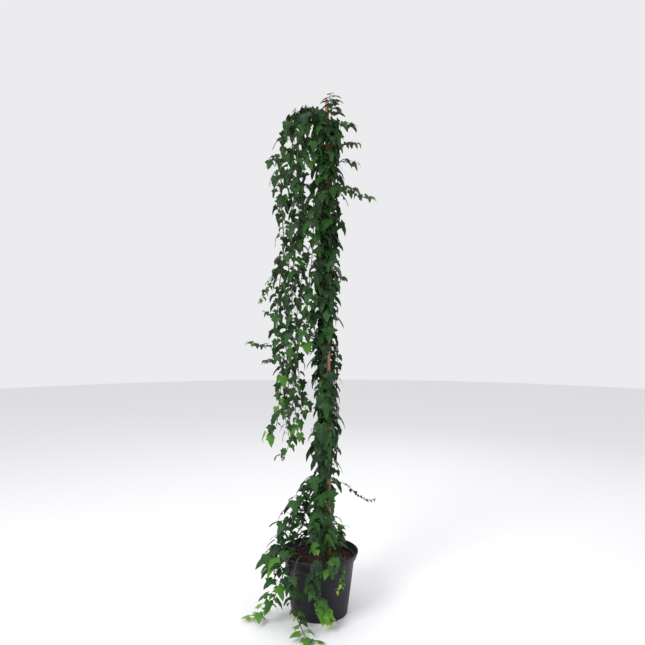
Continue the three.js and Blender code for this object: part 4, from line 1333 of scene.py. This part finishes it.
class IVY_OT_pot(bpy.types.Operator):
    """Add the nursery pot, with its collar, rolled rim, foot ring and drain holes"""

    bl_idname = "ivy.add_pot"
    bl_label = "Pot"

    def execute(self, context):
        settings = context.scene.ivy_pot
        foot_inner = BASE_RADIUS - FOOT_WIDTH
        collar = BODY_TOP_RADIUS + COLLAR_STEP
        outline = [
            (0, 0), (CENTRE_RADIUS, 0), (CENTRE_RADIUS + 2, RECESS), (foot_inner - 2, RECESS),
            (foot_inner, 0), (BASE_RADIUS - 1.5, 0), (pot_radius(1.5), 1.5), (BODY_TOP_RADIUS, SHOULDER),
            (collar - 1, SHOULDER + 1), (collar, SHOULDER + 3), (RIM_RADIUS, POT_HEIGHT - 2),
            (RIM_RADIUS - 1, POT_HEIGHT), (RIM_RADIUS - LIP, POT_HEIGHT), (collar - WALL - 0.5, SHOULDER + 4),
            (BODY_TOP_RADIUS - WALL, SHOULDER + 1), (pot_radius(FLOOR_TOP) - WALL, FLOOR_TOP), (0, FLOOR_TOP),
        ]
        made = turned("nursery_pot", rounded(outline, 1.2), settings.sides)
        ring = (CENTRE_RADIUS + foot_inner) / 2
        for i in range(HOLES):
            middle = polar((0, 0), ring, 360 * i / HOLES, 0)
            outline = [(0, -4), (HOLE_RADIUS, -4), (HOLE_RADIUS, 2 * FLOOR_TOP), (0, 2 * FLOOR_TOP)]
            hole = turned("hole", outline, 24, lambda v, at=middle: v + at)
            cut = made.modifiers.new("drain", "BOOLEAN")
            cut.object, cut.operation, cut.solver = hole, "DIFFERENCE", "EXACT"
            keep_evaluated(made)
            bpy.data.objects.remove(hole)
        shade_smooth(made.data)
        made.data.materials.clear()
        made.data.materials.append(pot_finish(settings))
        settle(made, "pot", "pot")
        return {"FINISHED"}


def crumb_collection(size):
    """Lumps of peat and slivers of bark, to be strewn on the soil."""
    kinds = bpy.data.collections.new("crumbs")
    for kind, stretch in enumerate(((1, 0.85, 0.6), (0.7, 0.6, 0.5), (1.9, 0.35, 0.3), (1.2, 0.7, 0.35))):
        bpy.ops.mesh.primitive_ico_sphere_add(subdivisions=1, radius=size)
        made = bpy.context.object
        for vertex in made.data.vertices:
            vertex.co += noise.noise_vector(vertex.co * 500 + Vector((kind * 9, 0, 0))) * size * 0.5
            vertex.co *= Vector(stretch)
        for collection in made.users_collection:
            collection.objects.unlink(made)
        kinds.objects.link(made)
        made.name = f"crumb_{kind}"
    return kinds


def crumb_tree():
    """Strews crumbs of several kinds over the top of the soil."""
    tree, nodes, given = geometry_tree(
        "crumbs",
        [
            ("Crumbs", "NodeSocketCollection"), ("Density", "NodeSocketFloat"), ("Seed", "NodeSocketInt"),
            ("Finish", "NodeSocketMaterial"),
        ],
    )
    normal = nodes.add("GeometryNodeInputNormal").outputs[0]
    upward = nodes.math("GREATER_THAN", nodes.split(normal)[2], 0.6)
    inputs = {0: nodes.add("GeometryNodeInputPosition").outputs[0], 1: (1, 1, 0)}
    radial = nodes.add("ShaderNodeVectorMath", inputs, operation="MULTIPLY").outputs[0]
    radius = nodes.add("ShaderNodeVectorMath", {0: radial}, operation="LENGTH").outputs["Value"]
    inside = nodes.math("LESS_THAN", radius, (pot_radius(SOIL_TOP) - WALL - 4) * MM)
    inputs = {
        "Mesh": given["Geometry"], "Selection": nodes.math("MULTIPLY", upward, inside),
        "Density": given["Density"], "Seed": given["Seed"],
    }
    points = nodes.add("GeometryNodeDistributePointsOnFaces", inputs).outputs["Points"]
    inputs = {"Collection": given["Crumbs"], "Separate Children": True, "Reset Children": True}
    kinds = nodes.add("GeometryNodeCollectionInfo", inputs).outputs[0]
    inputs = {0: (0, 0, 0), 1: (6.28, 6.28, 6.28), "Seed": 3}
    turn = nodes.add("FunctionNodeRandomValue", inputs, data_type="FLOAT_VECTOR")
    size = nodes.add("FunctionNodeRandomValue", {2: 0.25, 3: 1.0, "Seed": 4}, data_type="FLOAT")
    inputs = {
        "Points": points, "Instance": kinds, "Pick Instance": True, "Rotation": turn.outputs[0],
        "Scale": size.outputs[1],
    }
    strewn = nodes.add("GeometryNodeInstanceOnPoints", inputs).outputs[0]
    both = nodes.add("GeometryNodeJoinGeometry")
    tree.links.new(strewn, both.inputs[0])
    tree.links.new(given["Geometry"], both.inputs[0])
    real = nodes.add("GeometryNodeRealizeInstances", {"Geometry": both.outputs[0]}).outputs[0]
    nodes.add("NodeGroupOutput", {"Geometry": painted(nodes, real, given["Finish"])})
    return tree


class IVY_OT_soil(bpy.types.Operator):
    """Add the lumpy bed of peat, with crumbs and slivers of bark on it"""

    bl_idname = "ivy.add_soil"
    bl_label = "Soil"

    RINGS = 34
    SIDES = 120

    def execute(self, context):
        settings = context.scene.ivy_soil
        noise.seed_set(NOISE_SEED)
        gap = WALL + CLEARANCE
        bottom = FLOOR_TOP + CLEARANCE
        edge_top = SOIL_TOP - SOIL_DISHING
        edge = pot_radius(edge_top) - gap
        outline = [(0, bottom), (pot_radius(bottom) - gap, bottom), (edge, edge_top)]
        for ring in range(self.RINGS, -1, -1):
            share = ring / (self.RINGS + 0.5)
            outline.append((edge * share, SOIL_TOP - SOIL_DISHING * share * share))

        def lumpy(point):
            if point.z < edge_top + 0.01:
                return point
            flat = Vector((point.x, point.y, 0))
            lump = 5.0 * noise.noise(flat / 26) + 3.2 * noise.noise(flat / 9) + 1.6 * noise.noise(flat / 4)
            rim = clamp((edge - flat.length) / 12)
            return point + UP * (lump * rim + 2.5 * (1 - rim) * noise.noise(flat / 8))

        made = turned("peat_bed", outline, self.SIDES, lumpy)
        tree = crumb_tree()
        crumbs = crumb_collection(settings.crumb_size)
        values = {
            "Crumbs": crumbs, "Density": settings.crumb_density, "Seed": 7, "Finish": soil_finish(settings),
        }
        run_tree(made, tree, values)
        for piece in list(crumbs.objects):
            bpy.data.objects.remove(piece)
        settle(made, "soil", "soil")
        return {"FINISHED"}


class IVY_OT_cane(bpy.types.Operator):
    """Add the bamboo cane, with its ringed joints and its hollow cut top"""

    bl_idname = "ivy.add_cane"
    bl_label = "Cane"

    def execute(self, context):
        settings = context.scene.ivy_cane
        length = (CANE_HEAD - CANE_FOOT).length
        joints = []
        z = CANE_JOINT_EVERY / 2
        while z < length - CANE_JOINT_LENGTH:
            joints.append(z)
            z += CANE_JOINT_EVERY

        def near_joint(z, reach):
            return max((clamp(1 - abs(z - joint) / reach) for joint in joints), default=0)

        def radius(z):
            ridge = CANE_JOINT_SWELL * near_joint(z, CANE_JOINT_LENGTH / 2) ** 1.4
            groove = 0.55 * max((clamp(1 - abs(z - joint - 3.2) / 1.3) for joint in joints), default=0)
            uneven = 0.12 * noise.noise(Vector((0, 0, z / 30)))
            return lerp(*CANE_RADIUS, z / length) + ridge - groove - uneven

        heights = {0.0, length}
        heights.update(i * length / 90 for i in range(90))
        heights.update(joint + i * 0.9 for joint in joints for i in range(-6, 8))
        bore, depth = CANE_BORE
        outline = [(0, 0)] + [(radius(z), z) for z in sorted(heights)]
        outline[-1] = (outline[-1][0] - 0.5, length)
        outline += [(bore + 0.4, length), (bore, length - 0.6), (bore, length - depth), (0, length - depth)]
        lean = UP.rotation_difference(CANE_HEAD - CANE_FOOT)
        made = turned("bamboo", outline, settings.sides, lambda v: lean @ v + CANE_FOOT)
        rises = [(v.co / MM - CANE_FOOT).length for v in made.data.vertices]
        set_attribute(made.data, "joint", "FLOAT", [near_joint(z - 1.5, 4.5) for z in rises])
        shade_smooth(made.data)
        made.data.materials.append(cane_finish(settings))
        settle(made, "bamboo", "bamboo_cane")
        return {"FINISHED"}


class IVY_OT_ties(bpy.types.Operator):
    """Add the twine ties, two strands twisted together, with a knot and loose ends"""

    bl_idname = "ivy.add_ties"
    bl_label = "Ties"

    STRANDS = 2
    POINTS = 150

    def execute(self, context):
        settings = context.scene.ivy_tie
        tree = cord_tree()
        finish = twine_finish(settings)
        tilt = math.radians(TIE_TILT)
        ring = (CLIMBER_RING + CLIMBER_RADIUS[0] + TIE_RADIUS + 3 * CLEARANCE) / math.cos(tilt)
        strand = TIE_RADIUS * 0.56
        for i, share in enumerate(TIE_SHARES):
            centre = cane_axis(lerp(SOIL_TOP, CANE_HEAD.z, share))
            turn = Matrix.Rotation(math.radians(i * 50 - 60), 3, "Z") @ Matrix.Rotation(tilt, 3, "X")
            lines = Lines()

            def twisted(path):
                """The strands of twine along a path of points."""
                for k in range(self.STRANDS):
                    points, run = [], 0.0
                    for n, point in enumerate(path):
                        ahead = (path[min(n + 1, len(path) - 1)] - path[max(n - 1, 0)]).normalized()
                        side = ahead.cross(Vector((0.1, 0.2, 1))).normalized()
                        over = side.cross(ahead)
                        angle = 2 * math.pi * (run / (settings.lay / MM) + k / self.STRANDS)
                        offset = (side * math.cos(angle) + over * math.sin(angle)) * strand
                        points.append(turn @ (point + offset) + centre)
                        if n + 1 < len(path):
                            run += (path[n + 1] - point).length
                    lines.add(points, [strand] * len(points), [0.5] * len(points))

            loop = []
            for n in range(self.POINTS + 1):
                angle = 360 * n / self.POINTS
                sag = 0.35 * math.sin(math.radians(angle * 3)) + (n / self.POINTS - 0.5) * 1.4
                loop.append(polar((0, 0), ring, angle, sag))
            twisted(loop)
            knot = []
            for n in range(29):
                a = 2 * math.pi * n / 28
                knot.append(Vector((ring + 1.6 * math.cos(a), 2.1 * math.sin(a), 1.5 * math.sin(2 * a))))
            twisted(knot)
            shares = [n / 18 for n in range(19)]
            for hand, reach in ((1, TIE_TAIL), (-1, TIE_TAIL * 0.7)):
                out, droop = reach * 0.85, 0.5 * hand
                twisted([Vector((ring + s * out, hand * 3.2 * s, -3.5 * s * s - droop)) for s in shares])
            made = lines.object(f"twine_{i + 1}")
            run_tree(made, tree, {"Sides": 6, "Finish": finish})
            settle(made, "tie", f"tie_{i + 1}")
        return {"FINISHED"}


class IVY_OT_vines(bpy.types.Operator):
    """Add the climbing stems and every shoot, each with its petioles, leaves and clinging roots"""

    bl_idname = "ivy.add_vines"
    bl_label = "Stems and leaves"

    def execute(self, context):
        settings, leaf = context.scene.ivy_stem, context.scene.ivy_leaf
        noise.seed_set(NOISE_SEED)
        stems = grow_stems({**CLIMBER_LEAVES, "size": leaf.climber_size / MM})
        planned = plan_leaves(stems, leaf)
        tree = vine_tree()
        blades = blade_collection()
        bark, green = bark_finish(settings), leaf_finish(leaf)
        for stem in stems:
            lines = Lines()
            leaves = []
            for count, pose in planned[stem.name]:
                age = leaf_age(stem, pose, count)
                kind = int(scatter(stem.index, count, 5) * len(BLADE_KINDS))
                kind = BUD_KIND if pose.length < BUD_LENGTH else kind
                tone = scatter(stem.index, count, 7)
                leaves.append((pose, kind, tone, age))
                add_petiole(lines, stem, pose, age)
            if not leaves:
                raise RuntimeError(f"{stem.name} found none of its leaves in the solid model")
            add_stem_line(lines, stem, sorted(pose.distance for pose, _, _, _ in leaves), settings.step / MM)
            if stem.climbs:
                add_rootlets(lines, stem)
            made = lines.object(f"ivy_{stem.name}")
            places = leaf_places("leaf_places", leaves)
            values = {
                "Sides": settings.sides, "Leaf Places": places, "Blades": blades, "Ripple": leaf.ripple,
                "Bark": bark, "Leaf": green,
            }
            run_tree(made, tree, values)
            bpy.data.objects.remove(places)
            settle(made, "leaves", stem.name)
        for piece in list(blades.objects):
            bpy.data.objects.remove(piece)
        return {"FINISHED"}


class IVY_OT_stage(bpy.types.Operator):
    """Add the pale floor, the soft lights and the camera"""

    bl_idname = "ivy.add_stage"
    bl_label = "Stage"

    FLOOR_SIDES = 64
    SENSOR, LENS = 36, 34.4
    CAMERA_ASIDE = 0.011

    # Each light's name, place, size and power; all face the plant's middle.
    LIGHTS = (
        ("key", (-1.9, -2.5, 2.7), 1.6, 95),
        ("fill", (2.4, -2.0, 1.5), 2.4, 10),
        ("back", (0.9, 2.4, 2.5), 2.0, 15),
        ("overhead", (-0.2, 0.2, 3.4), 2.2, 8),
    )

    def execute(self, context):
        settings = context.scene.ivy_stage
        scene = context.scene
        material, nodes = new_material("stage_floor")
        grain = nodes.noise(nodes.place(), 60, 3)
        speckle = nodes.ramp(grain, 0.3, 0.7, 0.0, 0.12)
        colour = nodes.mix(speckle, rgba(settings.floor_colour), rgba(settings.speckle_colour))
        nodes.surface(colour, nodes.ramp(grain, 0.3, 0.7, 0.55, 0.7), grain, 0.0002)
        radius = settings.floor_radius / MM
        rim = [polar((0, 0), radius, 360 * i / self.FLOOR_SIDES, 0) for i in range(self.FLOOR_SIDES)]
        floor = add_mesh("stage_floor", rim, faces=[list(range(self.FLOOR_SIDES))])
        floor.data.materials.append(material)
        floor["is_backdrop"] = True
        world = bpy.data.worlds.new("surroundings")
        world.use_nodes = True
        background = world.node_tree.nodes["Background"]
        background.inputs["Color"].default_value = rgba(settings.sky_colour)
        background.inputs["Strength"].default_value = settings.sky_strength
        scene.world = world
        scene.view_settings.view_transform = "Standard"
        middle = (CAD_BOX[0] + CAD_BOX[1]) / 2
        for name, place, size, power in self.LIGHTS:
            light = bpy.data.lights.new(name, "AREA")
            light.shape, light.size, light.energy = "DISK", size, power
            made = add_object(name, light)
            made.location = place
            made.rotation_euler = (middle - made.location).to_track_quat("-Z", "Y").to_euler()
        camera = add_object("camera", bpy.data.cameras.new("camera"))
        camera.data.sensor_width, camera.data.lens = self.SENSOR, self.LENS
        camera.location = (self.CAMERA_ASIDE, -settings.camera_distance, settings.camera_height)
        camera.rotation_euler = (math.pi / 2, 0, 0)
        scene.camera = camera
        return {"FINISHED"}


class IVY_PT_panel(bpy.types.Panel):
    """The pieces of the potted ivy and what can be changed in them"""

    bl_idname = "IVY_PT_panel"
    bl_label = "Potted Ivy"
    bl_space_type = "VIEW_3D"
    bl_region_type = "UI"
    bl_category = "Potted Ivy"

    def draw(self, context):
        for operator, settings in PIECES:
            box = self.layout.box()
            box.operator(operator.bl_idname)
            for name in settings:
                group = getattr(context.scene, name)
                for key in group.bl_rna.properties.keys():
                    if key not in ("name", "rna_type"):
                        box.prop(group, key)


GROUPS = {
    "ivy_pot": PotSettings, "ivy_soil": SoilSettings, "ivy_cane": CaneSettings, "ivy_tie": TieSettings,
    "ivy_stem": StemSettings, "ivy_leaf": LeafSettings, "ivy_stage": StageSettings,
}
PIECES = (
    (IVY_OT_stage, ("ivy_stage",)), (IVY_OT_pot, ("ivy_pot",)), (IVY_OT_soil, ("ivy_soil",)),
    (IVY_OT_cane, ("ivy_cane",)), (IVY_OT_ties, ("ivy_tie",)), (IVY_OT_vines, ("ivy_stem", "ivy_leaf")),
)


def register():
    for group in (*GROUPS.values(), *(operator for operator, _ in PIECES), IVY_PT_panel):
        bpy.utils.register_class(group)
    for name, group in GROUPS.items():
        setattr(bpy.types.Scene, name, PointerProperty(type=group))


def unregister():
    for name in GROUPS:
        delattr(bpy.types.Scene, name)
    for group in (IVY_PT_panel, *(operator for operator, _ in PIECES), *GROUPS.values()):
        bpy.utils.unregister_class(group)


def main():
    register()
    bpy.ops.ivy.add_stage()
    bpy.ops.ivy.add_pot()
    bpy.ops.ivy.add_soil()
    bpy.ops.ivy.add_cane()
    bpy.ops.ivy.add_ties()
    bpy.ops.ivy.add_vines()
    boxes = {"cad": CAD_BOX, "visual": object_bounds()}
    {name: [list(corner) for corner in box] for name, box in boxes.items()}


if __name__ == "__main__":
    main()
